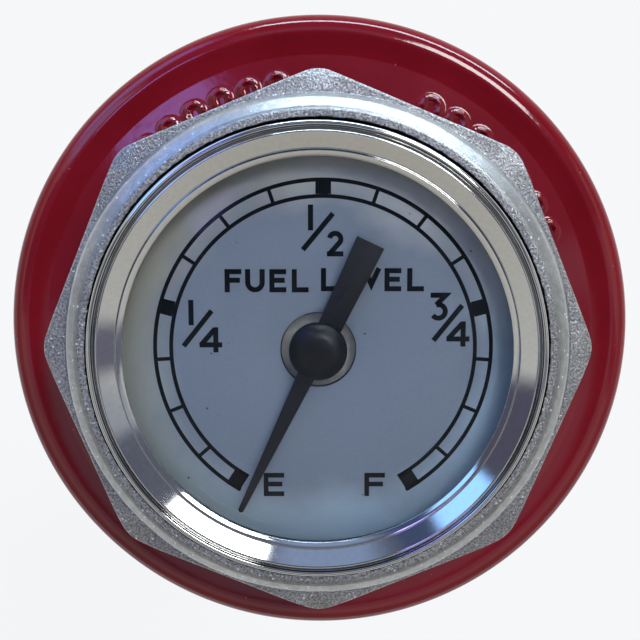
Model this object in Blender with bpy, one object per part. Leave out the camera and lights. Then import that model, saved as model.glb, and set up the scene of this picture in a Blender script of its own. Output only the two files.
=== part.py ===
"""Fuel level gauge built into a filler cap, direct reading, with a magnetic drive to its pointer.

Metres, +Z up and out of the dial. The origin is on the axis, in the plane where the cap's
gasket meets the rim of the filler neck. Scale up is +Y and scale right is +X.
A float slides on two guide rods and turns a twisted strip. A magnet on the strip's spindle
turns the pointer's magnet through the solid web of the head, so no fuel reaches the dial.
"""

import math

import bmesh
import bpy
from mathutils import Matrix, Vector

# Gap between pieces that touch, and between a shaft and its bearing
SEAT_GAP = 0.0003
RUNNING_GAP = 0.00015
WELD_DISTANCE = 0.000001

# Facets round a turned piece
CAP_STEPS = 48
HEAD_STEPS = 40
MEDIUM_STEPS = 28
SMALL_STEPS = 14
ROD_STEPS = 12

# Cast head
FLANGE_ACROSS_FLATS = 0.05715
FLANGE_TURNED_RADIUS = 0.03078
FLANGE_BOTTOM = 0.0094
FLANGE_TOP = 0.0164
SHOULDER_FOOT_RADIUS = 0.0281
SHOULDER_TOP_RADIUS = 0.0259
SHOULDER_TOP = 0.0192
BEZEL_RECESS_RADIUS = 0.0251
BEZEL_RECESS_FLOOR = 0.0166
DIAL_RECESS_RADIUS = 0.0236
DIAL_RECESS_FLOOR = 0.0155
WELL_RADIUS = 0.0070
WELL_FLOOR = 0.0105
WEB_UNDERSIDE = 0.0090
CAVITY_RADIUS = 0.0075
SHANK_RADIUS = 0.0155
SHANK_BOTTOM = -0.0160

# Dial, glass and bezel
DIAL_RADIUS = 0.0233
DIAL_THICKNESS = 0.0006
DIAL_HOLE_RADIUS = 0.0041
LENS_RADIUS = 0.0234
LENS_THICKNESS = 0.0013
LENS_CROWN = 0.0019
BEZEL_RADIUS = 0.0248
BEZEL_OPENING_RADIUS = 0.0211
BEZEL_CREST = 0.0205

# Pointer, as it stands in the tank's empty position
POINTER_LENGTH = 0.0202
POINTER_TAIL = 0.0132
POINTER_REST_DEGREES = 154.4
POINTER_HUB_RADIUS = 0.0032
POINTER_BLADE_BOTTOM = 0.01710
POINTER_BLADE_TOP = 0.01755
POINTER_HUB_TOP = 0.0192
POINTER_STEM_RADIUS = 0.0016
PIVOT_PIN_RADIUS = 0.0008

# Pressed cap
CAP_RADIUS = 0.0391
CAP_SHEET = 0.0010
CAP_CROWN_TOP = 0.0080
CAP_SKIRT_BOTTOM = -0.0090
CAP_HOLE_RADIUS = 0.0160
GASKET_THICKNESS = 0.0025
GASKET_INNER_RADIUS = 0.0250
GASKET_OUTER_RADIUS = 0.0330

# Float, its rods and the twisted strip
FLOAT_TRAVEL = 0.1760
POINTER_SWEEP_DEGREES = 303.8
FLOAT_RADIUS = 0.0175
FLOAT_HEIGHT = 0.0320
FLOAT_BORE_RADIUS = 0.0042
PLATE_THICKNESS = 0.0010
PLATE_RADIUS = 0.0146
RIVET_HEAD = 0.0009
RIVET_RADIUS = 0.0012
RIVET_OFFSET = 0.0115
ROD_OFFSET = 0.0115
ROD_RADIUS = 0.0016
ROD_DEPTH_IN_SHANK = 0.0080
STRIP_WIDTH = 0.0060
STRIP_THICKNESS = 0.0008
FOOT_THICKNESS = 0.0015
ROD_END_RADIUS = 0.0013
SPINDLE_RADIUS = 0.0015
DRIVER_RADIUS = 0.0022
LOWER_BUSH_RADIUS = 0.0026
LOWER_PIVOT_RADIUS = 0.0010

# Cap's inner pieces on the shank
SPRING_THICKNESS = 0.0005
WASHER_THICKNESS = 0.0010
CLAMP_BORE_RADIUS = SHANK_RADIUS + 0.0005

# Heights worked out from the sizes above
DIAL_BOTTOM = DIAL_RECESS_FLOOR + SEAT_GAP
DIAL_TOP = DIAL_BOTTOM + DIAL_THICKNESS
LENS_GASKET_BOTTOM = DIAL_TOP + SEAT_GAP
LENS_GASKET_TOP = LENS_GASKET_BOTTOM + 0.0006
LENS_EDGE_BOTTOM = LENS_GASKET_TOP + SEAT_GAP
LENS_EDGE_TOP = LENS_EDGE_BOTTOM + LENS_THICKNESS
HEAD_GASKET_BOTTOM = CAP_CROWN_TOP + SEAT_GAP
HEAD_GASKET_TOP = FLANGE_BOTTOM - SEAT_GAP
CROWN_UNDERSIDE = CAP_CROWN_TOP - CAP_SHEET
SPRING_TOP = CROWN_UNDERSIDE - SEAT_GAP
WASHER_TOP = SPRING_TOP - SPRING_THICKNESS - SEAT_GAP
WASHER_BOTTOM = WASHER_TOP - WASHER_THICKNESS
NUT_TOP = WASHER_BOTTOM - SEAT_GAP
DRIVER_TOP = SHANK_BOTTOM + 0.0036
BUSH_FLANGE_TOP = SHANK_BOTTOM - SEAT_GAP
BUSH_FLANGE_BOTTOM = BUSH_FLANGE_TOP - 0.0012
FLOAT_STACK_TOP = BUSH_FLANGE_BOTTOM - 0.0005 - FLOAT_TRAVEL
TOP_PLATE_TOP = FLOAT_STACK_TOP - RIVET_HEAD - SEAT_GAP
TOP_PLATE_BOTTOM = TOP_PLATE_TOP - PLATE_THICKNESS
FLOAT_TOP = TOP_PLATE_BOTTOM - SEAT_GAP
FLOAT_BOTTOM = FLOAT_TOP - FLOAT_HEIGHT
LOWER_PLATE_TOP = FLOAT_BOTTOM - SEAT_GAP
LOWER_PLATE_BOTTOM = LOWER_PLATE_TOP - PLATE_THICKNESS
FLOAT_STACK_BOTTOM = LOWER_PLATE_BOTTOM - SEAT_GAP - RIVET_HEAD
FOOT_TOP = FLOAT_STACK_BOTTOM - SEAT_GAP
FOOT_BOTTOM = FOOT_TOP - FOOT_THICKNESS
STRIP_TWIST = math.radians(POINTER_SWEEP_DEGREES) / FLOAT_TRAVEL
STRIP_TOP = SHANK_BOTTOM + 0.0026
STRIP_BOTTOM = FOOT_TOP + 0.0034
STRIP_SLOT_DEPTH = 0.0023


def remove_everything():
    for obj in list(bpy.data.objects):
        bpy.data.objects.remove(obj, do_unlink=True)


def finish_material(name, colour, metallic, roughness, alpha=1.0):
    """A plain finish, made once and shared by the pieces that have it."""
    made = bpy.data.materials.get(name)
    if made:
        return made
    made = bpy.data.materials.new(name)
    made.use_nodes = True
    shader = made.node_tree.nodes["Principled BSDF"]
    shader.inputs["Base Color"].default_value = (*colour, 1.0)
    shader.inputs["Metallic"].default_value = metallic
    shader.inputs["Roughness"].default_value = roughness
    shader.inputs["Alpha"].default_value = alpha
    made.diffuse_color = (*colour, alpha)
    return made


def red_paint():
    return finish_material("red_paint", (0.20, 0.010, 0.018), 0.0, 0.22)


def cast_zinc():
    return finish_material("cast_zinc", (0.33, 0.33, 0.34), 0.9, 0.48)


def chrome():
    return finish_material("chrome", (0.78, 0.78, 0.77), 1.0, 0.08)


def clear_glass():
    return finish_material("clear_glass", (0.93, 0.96, 0.96), 0.0, 0.03, 0.2)


def dial_enamel():
    return finish_material("dial_enamel", (0.27, 0.31, 0.35), 0.3, 0.42)


def pointer_black():
    return finish_material("pointer_black", (0.030, 0.030, 0.033), 0.0, 0.55)


def black_rubber():
    return finish_material("black_rubber", (0.018, 0.018, 0.019), 0.0, 0.70)


def plated_steel():
    return finish_material("plated_steel", (0.55, 0.55, 0.53), 1.0, 0.30)


def brass():
    return finish_material("brass", (0.62, 0.42, 0.16), 1.0, 0.28)


def magnet_grey():
    return finish_material("magnet_grey", (0.10, 0.10, 0.11), 0.6, 0.45)


def cork():
    return finish_material("cork", (0.38, 0.22, 0.11), 0.0, 0.85)


def turned(outline, steps):
    """Turns (radius, height) points once round the axis: a loop, or a line between two axis points."""
    bm = bmesh.new()
    corners = [bm.verts.new((radius, 0.0, height)) for radius, height in outline]
    on_axis = outline[0][0] == 0.0 and outline[-1][0] == 0.0
    ends = corners[1:] if on_axis else corners[1:] + corners[:1]
    edges = [bm.edges.new(pair) for pair in zip(corners, ends)]
    bmesh.ops.spin(
        bm,
        geom=corners + edges,
        cent=(0.0, 0.0, 0.0),
        axis=(0.0, 0.0, 1.0),
        angle=math.tau,
        steps=steps,
        use_merge=True,
    )
    return closed(bm)


def closed(bm):
    """Merges the points on the axis and turns every face outwards."""
    bmesh.ops.remove_doubles(bm, verts=bm.verts, dist=WELD_DISTANCE)
    bmesh.ops.recalc_face_normals(bm, faces=bm.faces)
    return bm


def prism(outline, bottom, top):
    """A flat outline of (x, y) points, drawn up into a solid."""
    bm = bmesh.new()
    face = bm.faces.new([bm.verts.new((x, y, bottom)) for x, y in outline])
    drawn = bmesh.ops.extrude_face_region(bm, geom=[face])
    lifted = [item for item in drawn["geom"] if isinstance(item, bmesh.types.BMVert)]
    bmesh.ops.translate(bm, verts=lifted, vec=(0.0, 0.0, top - bottom))
    return closed(bm)


def regular_prism(sides, across_flats, bottom, top):
    """A bar of regular section, with corners on the +Y and -Y axes."""
    bm = bmesh.new()
    corner_radius = across_flats / 2 / math.cos(math.pi / sides)
    bmesh.ops.create_cone(
        bm,
        cap_ends=True,
        segments=sides,
        radius1=corner_radius,
        radius2=corner_radius,
        depth=top - bottom,
        matrix=Matrix.Translation((0.0, 0.0, (bottom + top) / 2)),
    )
    return bm


def pin(radius, bottom, top, steps, x=0.0, y=0.0):
    """A plain round bar standing at x, y, with a flat and not a corner towards each axis."""
    bm = bmesh.new()
    place = Matrix.Translation((x, y, (bottom + top) / 2))
    bmesh.ops.create_cone(
        bm,
        cap_ends=True,
        segments=steps,
        radius1=radius,
        radius2=radius,
        depth=top - bottom,
        matrix=place @ Matrix.Rotation(math.pi / steps, 4, "Z"),
    )
    return bm


def arc(centre, radius, start, end, count):
    """Points of a round stretch, in degrees from outwards towards up."""
    turns = [math.radians(start + (end - start) * i / (count - 1)) for i in range(count)]
    return [
        (centre[0] + radius * math.cos(turn), centre[1] + radius * math.sin(turn))
        for turn in turns
    ]


def sheet(line, thickness):
    """The outline of pressed sheet: a line read outwards and down, and the same line one sheet below it."""
    points = [Vector(point) for point in line]
    steps = [(after - before).normalized() for before, after in zip(points, points[1:])]
    sides = [Vector((step.y, -step.x)) for step in steps]
    below = []
    for i, point in enumerate(points):
        first = sides[max(i - 1, 0)]
        second = sides[min(i, len(sides) - 1)]
        mitre = (first + second) / (1.0 + first.dot(second))
        below.append(tuple(point + mitre * thickness))
    return [tuple(point) for point in points] + below[::-1]


def part(name, bm, finish, sharp_degrees=32.0):
    """Makes the named object of a finished mesh."""
    mesh = bpy.data.meshes.new(name)
    bm.to_mesh(mesh)
    bm.free()
    mesh.shade_smooth()
    mesh.set_sharp_from_angle(angle=math.radians(sharp_degrees))
    mesh.materials.append(finish)
    obj = bpy.data.objects.new(name, mesh)
    bpy.context.scene.collection.objects.link(obj)
    return obj


def tool(name, bm):
    """A hidden solid that only shapes another one."""
    obj = part(name, bm, None)
    obj.hide_render = True
    obj.display_type = "WIRE"
    return obj


def shape(obj, operation, name, bm):
    """Cuts, joins or trims a piece with another solid."""
    modifier = obj.modifiers.new(name, "BOOLEAN")
    modifier.operation = operation
    modifier.solver = "EXACT"
    modifier.object = tool(name, bm)
    return modifier.object


def axis_empty(name, turn_degrees=0.0):
    """The joint axis that a moving group hangs on, which is always the gauge's own axis."""
    empty = bpy.data.objects.new(name, None)
    empty.empty_display_type = "SINGLE_ARROW"
    empty.empty_display_size = 0.02
    empty.rotation_euler = (0.0, 0.0, math.radians(turn_degrees))
    bpy.context.scene.collection.objects.link(empty)
    return empty


def carry(empty, objects):
    for obj in objects:
        obj.parent = empty


def make_head_body():
    """Die-cast octagonal head: dial recess, sealed web and threaded shank in one piece."""
    chamfer_radius = 0.0300
    chamfer_drop = 0.00032
    underside_chamfer = 0.0006
    foot_fillet = 0.0004
    mouth_round = 0.0002
    shank_chamfer = 0.0008
    shoulder_slope_end = (0.02727, FLANGE_TOP + 0.00195)
    shoulder_waist = (0.02752, FLANGE_TOP + 0.00158)
    shoulder_round = 0.0009
    shoulder = arc(
        (SHOULDER_TOP_RADIUS, SHOULDER_TOP - shoulder_round), shoulder_round, 51.0, 90.0, 2
    )
    outline = [
        (0.0, WELL_FLOOR),
        (WELL_RADIUS, WELL_FLOOR),
        (WELL_RADIUS, DIAL_RECESS_FLOOR),
        (DIAL_RECESS_RADIUS, DIAL_RECESS_FLOOR),
        (DIAL_RECESS_RADIUS, BEZEL_RECESS_FLOOR),
        (BEZEL_RECESS_RADIUS, BEZEL_RECESS_FLOOR),
        (BEZEL_RECESS_RADIUS, SHOULDER_TOP - mouth_round),
        (BEZEL_RECESS_RADIUS + mouth_round, SHOULDER_TOP),
        *shoulder[::-1],
        shoulder_slope_end,
        shoulder_waist,
        (SHOULDER_FOOT_RADIUS - foot_fillet / 2, FLANGE_TOP + foot_fillet),
        (SHOULDER_FOOT_RADIUS, FLANGE_TOP),
        (chamfer_radius, FLANGE_TOP),
        (FLANGE_TURNED_RADIUS, FLANGE_TOP - chamfer_drop),
        (FLANGE_TURNED_RADIUS, FLANGE_BOTTOM + underside_chamfer),
        (FLANGE_TURNED_RADIUS - 2 * underside_chamfer, FLANGE_BOTTOM),
        (SHANK_RADIUS, FLANGE_BOTTOM),
        (SHANK_RADIUS, SHANK_BOTTOM + shank_chamfer),
        (SHANK_RADIUS - shank_chamfer, SHANK_BOTTOM),
        (CAVITY_RADIUS, SHANK_BOTTOM),
        (CAVITY_RADIUS, WEB_UNDERSIDE),
        (0.0, WEB_UNDERSIDE),
    ]
    head = part("head_body", turned(outline, HEAD_STEPS), cast_zinc())
    margin = 0.010
    octagon = regular_prism(8, FLANGE_ACROSS_FLATS, SHANK_BOTTOM - margin, SHOULDER_TOP + margin)
    shape(head, "INTERSECT", "flange_octagon", octagon)
    rod_hole_top = SHANK_BOTTOM + ROD_DEPTH_IN_SHANK + SEAT_GAP
    for side, x in (("left", -ROD_OFFSET), ("right", ROD_OFFSET)):
        hole = pin(
            ROD_RADIUS + RUNNING_GAP, SHANK_BOTTOM - margin, rod_hole_top, ROD_STEPS, x=x
        )
        shape(head, "DIFFERENCE", f"rod_hole_{side}", hole)
    pin_hole_depth = 0.0009
    pin_hole = pin(
        PIVOT_PIN_RADIUS + RUNNING_GAP,
        WELL_FLOOR - pin_hole_depth,
        WELL_FLOOR + margin,
        ROD_STEPS,
    )
    shape(head, "DIFFERENCE", "pivot_pin_hole", pin_hole)
    return head


def make_bezel():
    """Plated ring rolled from sheet: inner lip, sloping face, crest and outer bead on a plain skirt."""
    skirt_inner = LENS_RADIUS + SEAT_GAP
    skirt_bottom = BEZEL_RECESS_FLOOR + SEAT_GAP
    lip_underside = LENS_EDGE_TOP + SEAT_GAP
    lip = arc((BEZEL_OPENING_RADIUS + 0.0003, 0.0195), 0.0003, 180.0, 60.0, 3)
    crest = arc((0.0235, BEZEL_CREST - 0.0004), 0.0004, 115.0, 10.0, 3)
    bead = arc((0.0244, 0.0197), 0.0004, 140.0, 0.0, 3)
    outline = [
        (BEZEL_OPENING_RADIUS, lip_underside),
        *lip,
        (0.02178, 0.01955),
        *crest,
        *bead,
        (BEZEL_RADIUS, skirt_bottom),
        (skirt_inner, skirt_bottom),
        (skirt_inner, lip_underside),
    ]
    return part("bezel", turned(outline, HEAD_STEPS), chrome())


def make_lens():
    """Glass with a flat rim and a slightly domed middle."""
    rim_width = 0.0022
    dome_radius = LENS_RADIUS - rim_width
    dome_points = 3
    crown_radius = (dome_radius**2 + LENS_CROWN**2) / (2 * LENS_CROWN)
    top = []
    for i in range(dome_points):
        radius = dome_radius * i / (dome_points - 1)
        rise = math.sqrt(crown_radius**2 - radius**2) - (crown_radius - LENS_CROWN)
        top.append((radius, LENS_EDGE_TOP + rise))
    bottom = [(radius, height - LENS_THICKNESS) for radius, height in top]
    outline = [
        *top,
        (LENS_RADIUS, LENS_EDGE_TOP),
        (LENS_RADIUS, LENS_EDGE_BOTTOM),
        *bottom[::-1],
    ]
    return part("lens", turned(outline, HEAD_STEPS), clear_glass())


def ring(name, inner, outer, bottom, top, steps, finish):
    """A flat washer."""
    outline = [(inner, top), (outer, top), (outer, bottom), (inner, bottom)]
    return part(name, turned(outline, steps), finish)


def make_lens_gasket():
    """Rubber ring between dial and glass."""
    inner = BEZEL_OPENING_RADIUS + 0.0007
    outer = DIAL_RECESS_RADIUS - 0.0004
    return ring(
        "lens_gasket",
        inner,
        outer,
        LENS_GASKET_BOTTOM,
        LENS_GASKET_TOP,
        MEDIUM_STEPS,
        black_rubber(),
    )


def make_dial():
    return ring(
        "dial", DIAL_HOLE_RADIUS, DIAL_RADIUS, DIAL_BOTTOM, DIAL_TOP, HEAD_STEPS, dial_enamel()
    )


def make_pivot_pin():
    """Steel pin standing in the web, with a pointed top that carries the pointer."""
    bottom = WELL_FLOOR - 0.0007
    point_height = 0.0006
    top = POINTER_BLADE_TOP - 0.0002
    outline = [
        (0.0, top),
        (PIVOT_PIN_RADIUS / 2, top - point_height / 3),
        (PIVOT_PIN_RADIUS, top - point_height),
        (PIVOT_PIN_RADIUS, bottom),
        (0.0, bottom),
    ]
    return part("pivot_pin", turned(outline, ROD_STEPS), plated_steel())


def make_pointer_group():
    """Pointer, magnet and magnet cup, modelled pointing up the scale and turned to the rest mark."""
    magnet_bore = 0.0012
    magnet_radius = 0.0044
    magnet_bottom = 0.0113
    magnet_top = 0.0141
    magnet = ring(
        "pointer_magnet",
        magnet_bore,
        magnet_radius,
        magnet_bottom,
        magnet_top,
        SMALL_STEPS,
        magnet_grey(),
    )
    pivot = axis_empty("pointer_pivot", POINTER_REST_DEGREES)
    carry(pivot, [*make_pointer(), make_pointer_cup(), magnet])


def make_pointer():
    """Moulded pointer: domed hub with its stem, slim blade and a broad square tail."""
    stem_bottom = 0.0143
    hub_bottom = 0.0170
    hub_edge = 0.0178
    bore_top = POINTER_BLADE_TOP + 0.0002
    bore_radius = PIVOT_PIN_RADIUS + RUNNING_GAP
    dome_points = 4
    dome = []
    for i in range(dome_points):
        turn = math.radians(90.0 * i / (dome_points - 1))
        radius = POINTER_HUB_RADIUS * math.sin(turn)
        dome.append((radius, hub_edge + (POINTER_HUB_TOP - hub_edge) * math.cos(turn)))
    dome[0] = (0.0, POINTER_HUB_TOP)
    outline = [
        *dome,
        (POINTER_HUB_RADIUS, hub_bottom),
        (POINTER_STEM_RADIUS, hub_bottom),
        (POINTER_STEM_RADIUS, stem_bottom),
        (0.0, stem_bottom),
    ]
    pointer = part("pointer", turned(outline, SMALL_STEPS), pointer_black())
    half_root = 0.00100
    half_tip = 0.00032
    half_tail_root = 0.00130
    half_tail_end = 0.00162
    root = 0.0022
    tip_round = 0.0003
    blade = [
        (half_root, root),
        (half_tip, POINTER_LENGTH - tip_round),
        (0.0, POINTER_LENGTH),
        (-half_tip, POINTER_LENGTH - tip_round),
        (-half_root, root),
    ]
    tail = [
        (-half_tail_root, -root),
        (-half_tail_end, -POINTER_TAIL),
        (half_tail_end, -POINTER_TAIL),
        (half_tail_root, -root),
    ]
    arm = prism(tail + blade, POINTER_BLADE_BOTTOM, POINTER_BLADE_TOP)
    joined = shape(pointer, "UNION", "pointer_arm", arm)
    bore = pin(bore_radius, stem_bottom - bore_radius, bore_top, SMALL_STEPS)
    drilled = shape(pointer, "DIFFERENCE", "pointer_bore", bore)
    return [pointer, joined, drilled]


def make_pointer_cup():
    """Plated steel cup, open side down, pressed on the pointer's stem round the magnet."""
    stem_hole = POINTER_STEM_RADIUS + RUNNING_GAP
    radius = 0.0052
    top = 0.0151
    skirt_bottom = 0.0116
    corner = 0.0004
    sheet_thickness = 0.0005
    line = [(stem_hole, top), (radius - corner, top), (radius, top - corner), (radius, skirt_bottom)]
    return part("pointer_cup", turned(sheet(line, sheet_thickness), SMALL_STEPS), plated_steel())


def make_cap_shell():
    """Cap pressed from steel sheet: raised crown, flat ring, shallow valley, round rim and plain skirt."""
    crown_edge = 0.0238
    slope_foot = (0.0270, 0.0049)
    ring_edge = (0.0332, 0.0045)
    valley = (0.0343, 0.0041)
    rim = arc((0.0365, 0.0017), 0.0026, 108.0, 0.0, 5)
    line = [
        (CAP_HOLE_RADIUS, CAP_CROWN_TOP),
        (crown_edge, CAP_CROWN_TOP),
        slope_foot,
        ring_edge,
        valley,
        *rim,
        (CAP_RADIUS, CAP_SKIRT_BOTTOM),
    ]
    cap = part("cap_shell", turned(sheet(line, CAP_SHEET), CAP_STEPS), red_paint())
    for side, turn in (("back", 90.0), ("front", 270.0)):
        shape(cap, "UNION", f"lug_{side}", lug(turn))
    return cap


def lug(middle_degrees):
    """Bayonet lug turned in from the skirt's lower edge."""
    reach = 0.0342
    root = CAP_RADIUS - CAP_SHEET / 2
    bottom = CAP_SKIRT_BOTTOM + 0.0005
    top = bottom + CAP_SHEET
    width_degrees = 30.0
    steps = 6
    bm = bmesh.new()
    section = [(reach, bottom), (root, bottom), (root, top), (reach, top)]
    face = bm.faces.new([bm.verts.new((radius, 0.0, height)) for radius, height in section])
    start = math.radians(middle_degrees - width_degrees / 2)
    bmesh.ops.rotate(
        bm, verts=bm.verts, cent=(0.0, 0.0, 0.0), matrix=Matrix.Rotation(start, 3, "Z")
    )
    bmesh.ops.spin(
        bm,
        geom=[face, *face.verts, *face.edges],
        cent=(0.0, 0.0, 0.0),
        axis=(0.0, 0.0, 1.0),
        angle=math.radians(width_degrees),
        steps=steps,
    )
    return closed(bm)


def make_spring_disc():
    """Dished spring-steel disc that presses the gasket on the neck's rim."""
    flat_edge = 0.0212
    foot_edge = 0.0262
    foot_top = GASKET_THICKNESS + SEAT_GAP + SPRING_THICKNESS
    line = [
        (CLAMP_BORE_RADIUS, SPRING_TOP),
        (flat_edge, SPRING_TOP),
        (foot_edge, foot_top),
        (GASKET_OUTER_RADIUS, foot_top),
    ]
    return part(
        "spring_disc", turned(sheet(line, SPRING_THICKNESS), MEDIUM_STEPS), plated_steel()
    )


def make_cap_gasket():
    """Flat rubber ring that the neck's rim presses into."""
    return ring(
        "cap_gasket",
        GASKET_INNER_RADIUS,
        GASKET_OUTER_RADIUS,
        0.0,
        GASKET_THICKNESS,
        MEDIUM_STEPS,
        black_rubber(),
    )


def make_head_gasket():
    outer = 0.0236
    return ring(
        "head_gasket",
        CLAMP_BORE_RADIUS,
        outer,
        HEAD_GASKET_BOTTOM,
        HEAD_GASKET_TOP,
        MEDIUM_STEPS,
        black_rubber(),
    )


def make_clamp_washer():
    outer = 0.0205
    return ring(
        "clamp_washer",
        CLAMP_BORE_RADIUS,
        outer,
        WASHER_BOTTOM,
        WASHER_TOP,
        MEDIUM_STEPS,
        plated_steel(),
    )


def make_lock_nut():
    """Thin hexagon nut on the shank, with turned corners."""
    across_flats = 0.0360
    height = 0.0050
    bore = SHANK_RADIUS + SEAT_GAP
    corner = 0.0206
    chamfer = 0.0007
    bottom = NUT_TOP - height
    outline = [
        (bore, NUT_TOP),
        (corner - 2 * chamfer, NUT_TOP),
        (corner, NUT_TOP - chamfer),
        (corner, bottom + chamfer),
        (corner - 2 * chamfer, bottom),
        (bore, bottom),
    ]
    nut = part("lock_nut", turned(outline, MEDIUM_STEPS), plated_steel())
    margin = 0.002
    hexagon = regular_prism(6, across_flats, bottom - margin, NUT_TOP + margin)
    shape(nut, "INTERSECT", "lock_nut_hexagon", hexagon)
    return nut


def make_upper_bush():
    """Flanged bearing in the shank's mouth: guides the spindle and clears the strip's end."""
    body_radius = CAVITY_RADIUS - SEAT_GAP
    flange_radius = 0.0092
    body_top = SHANK_BOTTOM + 0.0060
    counterbore = STRIP_WIDTH / 2 + 0.0006
    counterbore_top = DRIVER_TOP + SEAT_GAP
    bore = SPINDLE_RADIUS + RUNNING_GAP
    outline = [
        (bore, body_top),
        (body_radius, body_top),
        (body_radius, BUSH_FLANGE_TOP),
        (flange_radius, BUSH_FLANGE_TOP),
        (flange_radius, BUSH_FLANGE_BOTTOM),
        (counterbore, BUSH_FLANGE_BOTTOM),
        (counterbore, counterbore_top),
        (bore, counterbore_top),
    ]
    return part("upper_bush", turned(outline, SMALL_STEPS), brass())


def make_guide_rod(name, x):
    """Steel rod screwed into the shank, with a shouldered end for the foot plate."""
    top = SHANK_BOTTOM + ROD_DEPTH_IN_SHANK
    shoulder = FOOT_TOP + SEAT_GAP
    end = FOOT_BOTTOM - 0.0036
    chamfer = 0.0003
    outline = [
        (0.0, top),
        (ROD_RADIUS - chamfer, top),
        (ROD_RADIUS, top - chamfer),
        (ROD_RADIUS, shoulder),
        (ROD_END_RADIUS, shoulder),
        (ROD_END_RADIUS, end),
        (0.0, end),
    ]
    rod = part(name, turned(outline, ROD_STEPS), plated_steel())
    rod.location.x = x
    return rod


def make_rod_nut(name, x):
    """Small hexagon nut under the foot plate."""
    across_flats = 0.0050
    height = 0.0024
    top = FOOT_BOTTOM - SEAT_GAP
    nut = part(name, regular_prism(6, across_flats, top - height, top), plated_steel())
    bore = pin(ROD_END_RADIUS + RUNNING_GAP, top - 2 * height, top + height, ROD_STEPS)
    cutter = shape(nut, "DIFFERENCE", f"{name}_bore", bore)
    nut.location.x = x
    cutter.location.x = x
    return nut


def make_foot_plate():
    """Stamped bar with round ends that holds the rods apart and carries the lower bearing."""
    end_radius = 0.0048
    waist_radius = 0.0070
    right_end = arc((ROD_OFFSET, 0.0), end_radius, -62.0, 62.0, 6)
    left_end = [(-x, -y) for x, y in right_end]
    upper_boss = arc((0.0, 0.0), waist_radius, 65.0, 115.0, 4)
    lower_boss = [(-x, -y) for x, y in upper_boss]
    outline = [*right_end, *upper_boss, *left_end, *lower_boss]
    plate = part("foot_plate", prism(outline, FOOT_BOTTOM, FOOT_TOP), plated_steel())
    margin = 0.002
    for side, x in (("left", -ROD_OFFSET), ("right", ROD_OFFSET)):
        hole = pin(
            ROD_END_RADIUS + RUNNING_GAP,
            FOOT_BOTTOM - margin,
            FOOT_TOP + margin,
            ROD_STEPS,
            x=x,
        )
        shape(plate, "DIFFERENCE", f"foot_hole_{side}", hole)
    bearing_hole = pin(
        LOWER_BUSH_RADIUS + RUNNING_GAP, FOOT_BOTTOM - margin, FOOT_TOP + margin, SMALL_STEPS
    )
    shape(plate, "DIFFERENCE", "foot_bearing_hole", bearing_hole)
    return plate


def make_lower_bush():
    """Flanged bearing in the foot plate for the strip's lower pivot."""
    flange_radius = 0.0042
    flange_top = FOOT_BOTTOM - SEAT_GAP
    flange_bottom = flange_top - 0.0010
    bore = LOWER_PIVOT_RADIUS + RUNNING_GAP
    bore_bottom = flange_bottom + 0.0003
    outline = [
        (bore, FOOT_TOP),
        (LOWER_BUSH_RADIUS, FOOT_TOP),
        (LOWER_BUSH_RADIUS, flange_top),
        (flange_radius, flange_top),
        (flange_radius, flange_bottom),
        (0.0, flange_bottom),
    ]
    outline = [(0.0, bore_bottom), (bore, bore_bottom), *outline]
    return part("lower_bush", turned(outline, SMALL_STEPS), brass())


def strip_angle(height):
    """How far the strip has turned at this height. It lies along X in the float's slot at rest."""
    return STRIP_TWIST * (height - (TOP_PLATE_TOP + TOP_PLATE_BOTTOM) / 2)


def make_twist_strip():
    """Brass strip twisted evenly along its length: one pointer sweep over the float's travel."""
    steps = 36
    bm = bmesh.new()
    half_width = STRIP_WIDTH / 2
    half_thickness = STRIP_THICKNESS / 2
    section = [
        (-half_width, -half_thickness),
        (half_width, -half_thickness),
        (half_width, half_thickness),
        (-half_width, half_thickness),
    ]
    face = bm.faces.new([bm.verts.new((x, y, STRIP_BOTTOM)) for x, y in section])
    start = Matrix.Rotation(strip_angle(STRIP_BOTTOM), 3, "Z")
    bmesh.ops.rotate(bm, verts=bm.verts, cent=(0.0, 0.0, 0.0), matrix=start)
    length = STRIP_TOP - STRIP_BOTTOM
    bmesh.ops.spin(
        bm,
        geom=[face, *face.verts, *face.edges],
        cent=(0.0, 0.0, 0.0),
        axis=(0.0, 0.0, 1.0),
        dvec=(0.0, 0.0, length / steps),
        angle=STRIP_TWIST * length,
        steps=steps,
    )
    return part("twist_strip", closed(bm), brass(), 60.0)


def slot_cutter(bottom, top, angle, length, width):
    """A square bar across the axis, to cut a driving slot."""
    x = length / 2
    y = width / 2
    bm = prism([(-x, -y), (x, -y), (x, y), (-x, y)], bottom, top)
    bmesh.ops.rotate(
        bm, verts=bm.verts, cent=(0.0, 0.0, 0.0), matrix=Matrix.Rotation(angle, 3, "Z")
    )
    return bm


def make_upper_spindle():
    """Steel spindle: slotted lower end on the strip, plain top for the drive magnet."""
    top = WEB_UNDERSIDE - 0.0006
    driver_bottom = STRIP_TOP - STRIP_SLOT_DEPTH
    outline = [
        (0.0, top),
        (SPINDLE_RADIUS, top),
        (SPINDLE_RADIUS, DRIVER_TOP),
        (DRIVER_RADIUS, DRIVER_TOP),
        (DRIVER_RADIUS, driver_bottom),
        (0.0, driver_bottom),
    ]
    spindle = part("upper_spindle", turned(outline, SMALL_STEPS), plated_steel())
    angle = strip_angle(STRIP_TOP - STRIP_SLOT_DEPTH / 2)
    slot = slot_cutter(
        driver_bottom - 0.002,
        STRIP_TOP + SEAT_GAP,
        angle,
        4 * DRIVER_RADIUS,
        STRIP_THICKNESS + 2 * SEAT_GAP,
    )
    cutter = shape(spindle, "DIFFERENCE", "upper_slot", slot)
    return [spindle, cutter]


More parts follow.
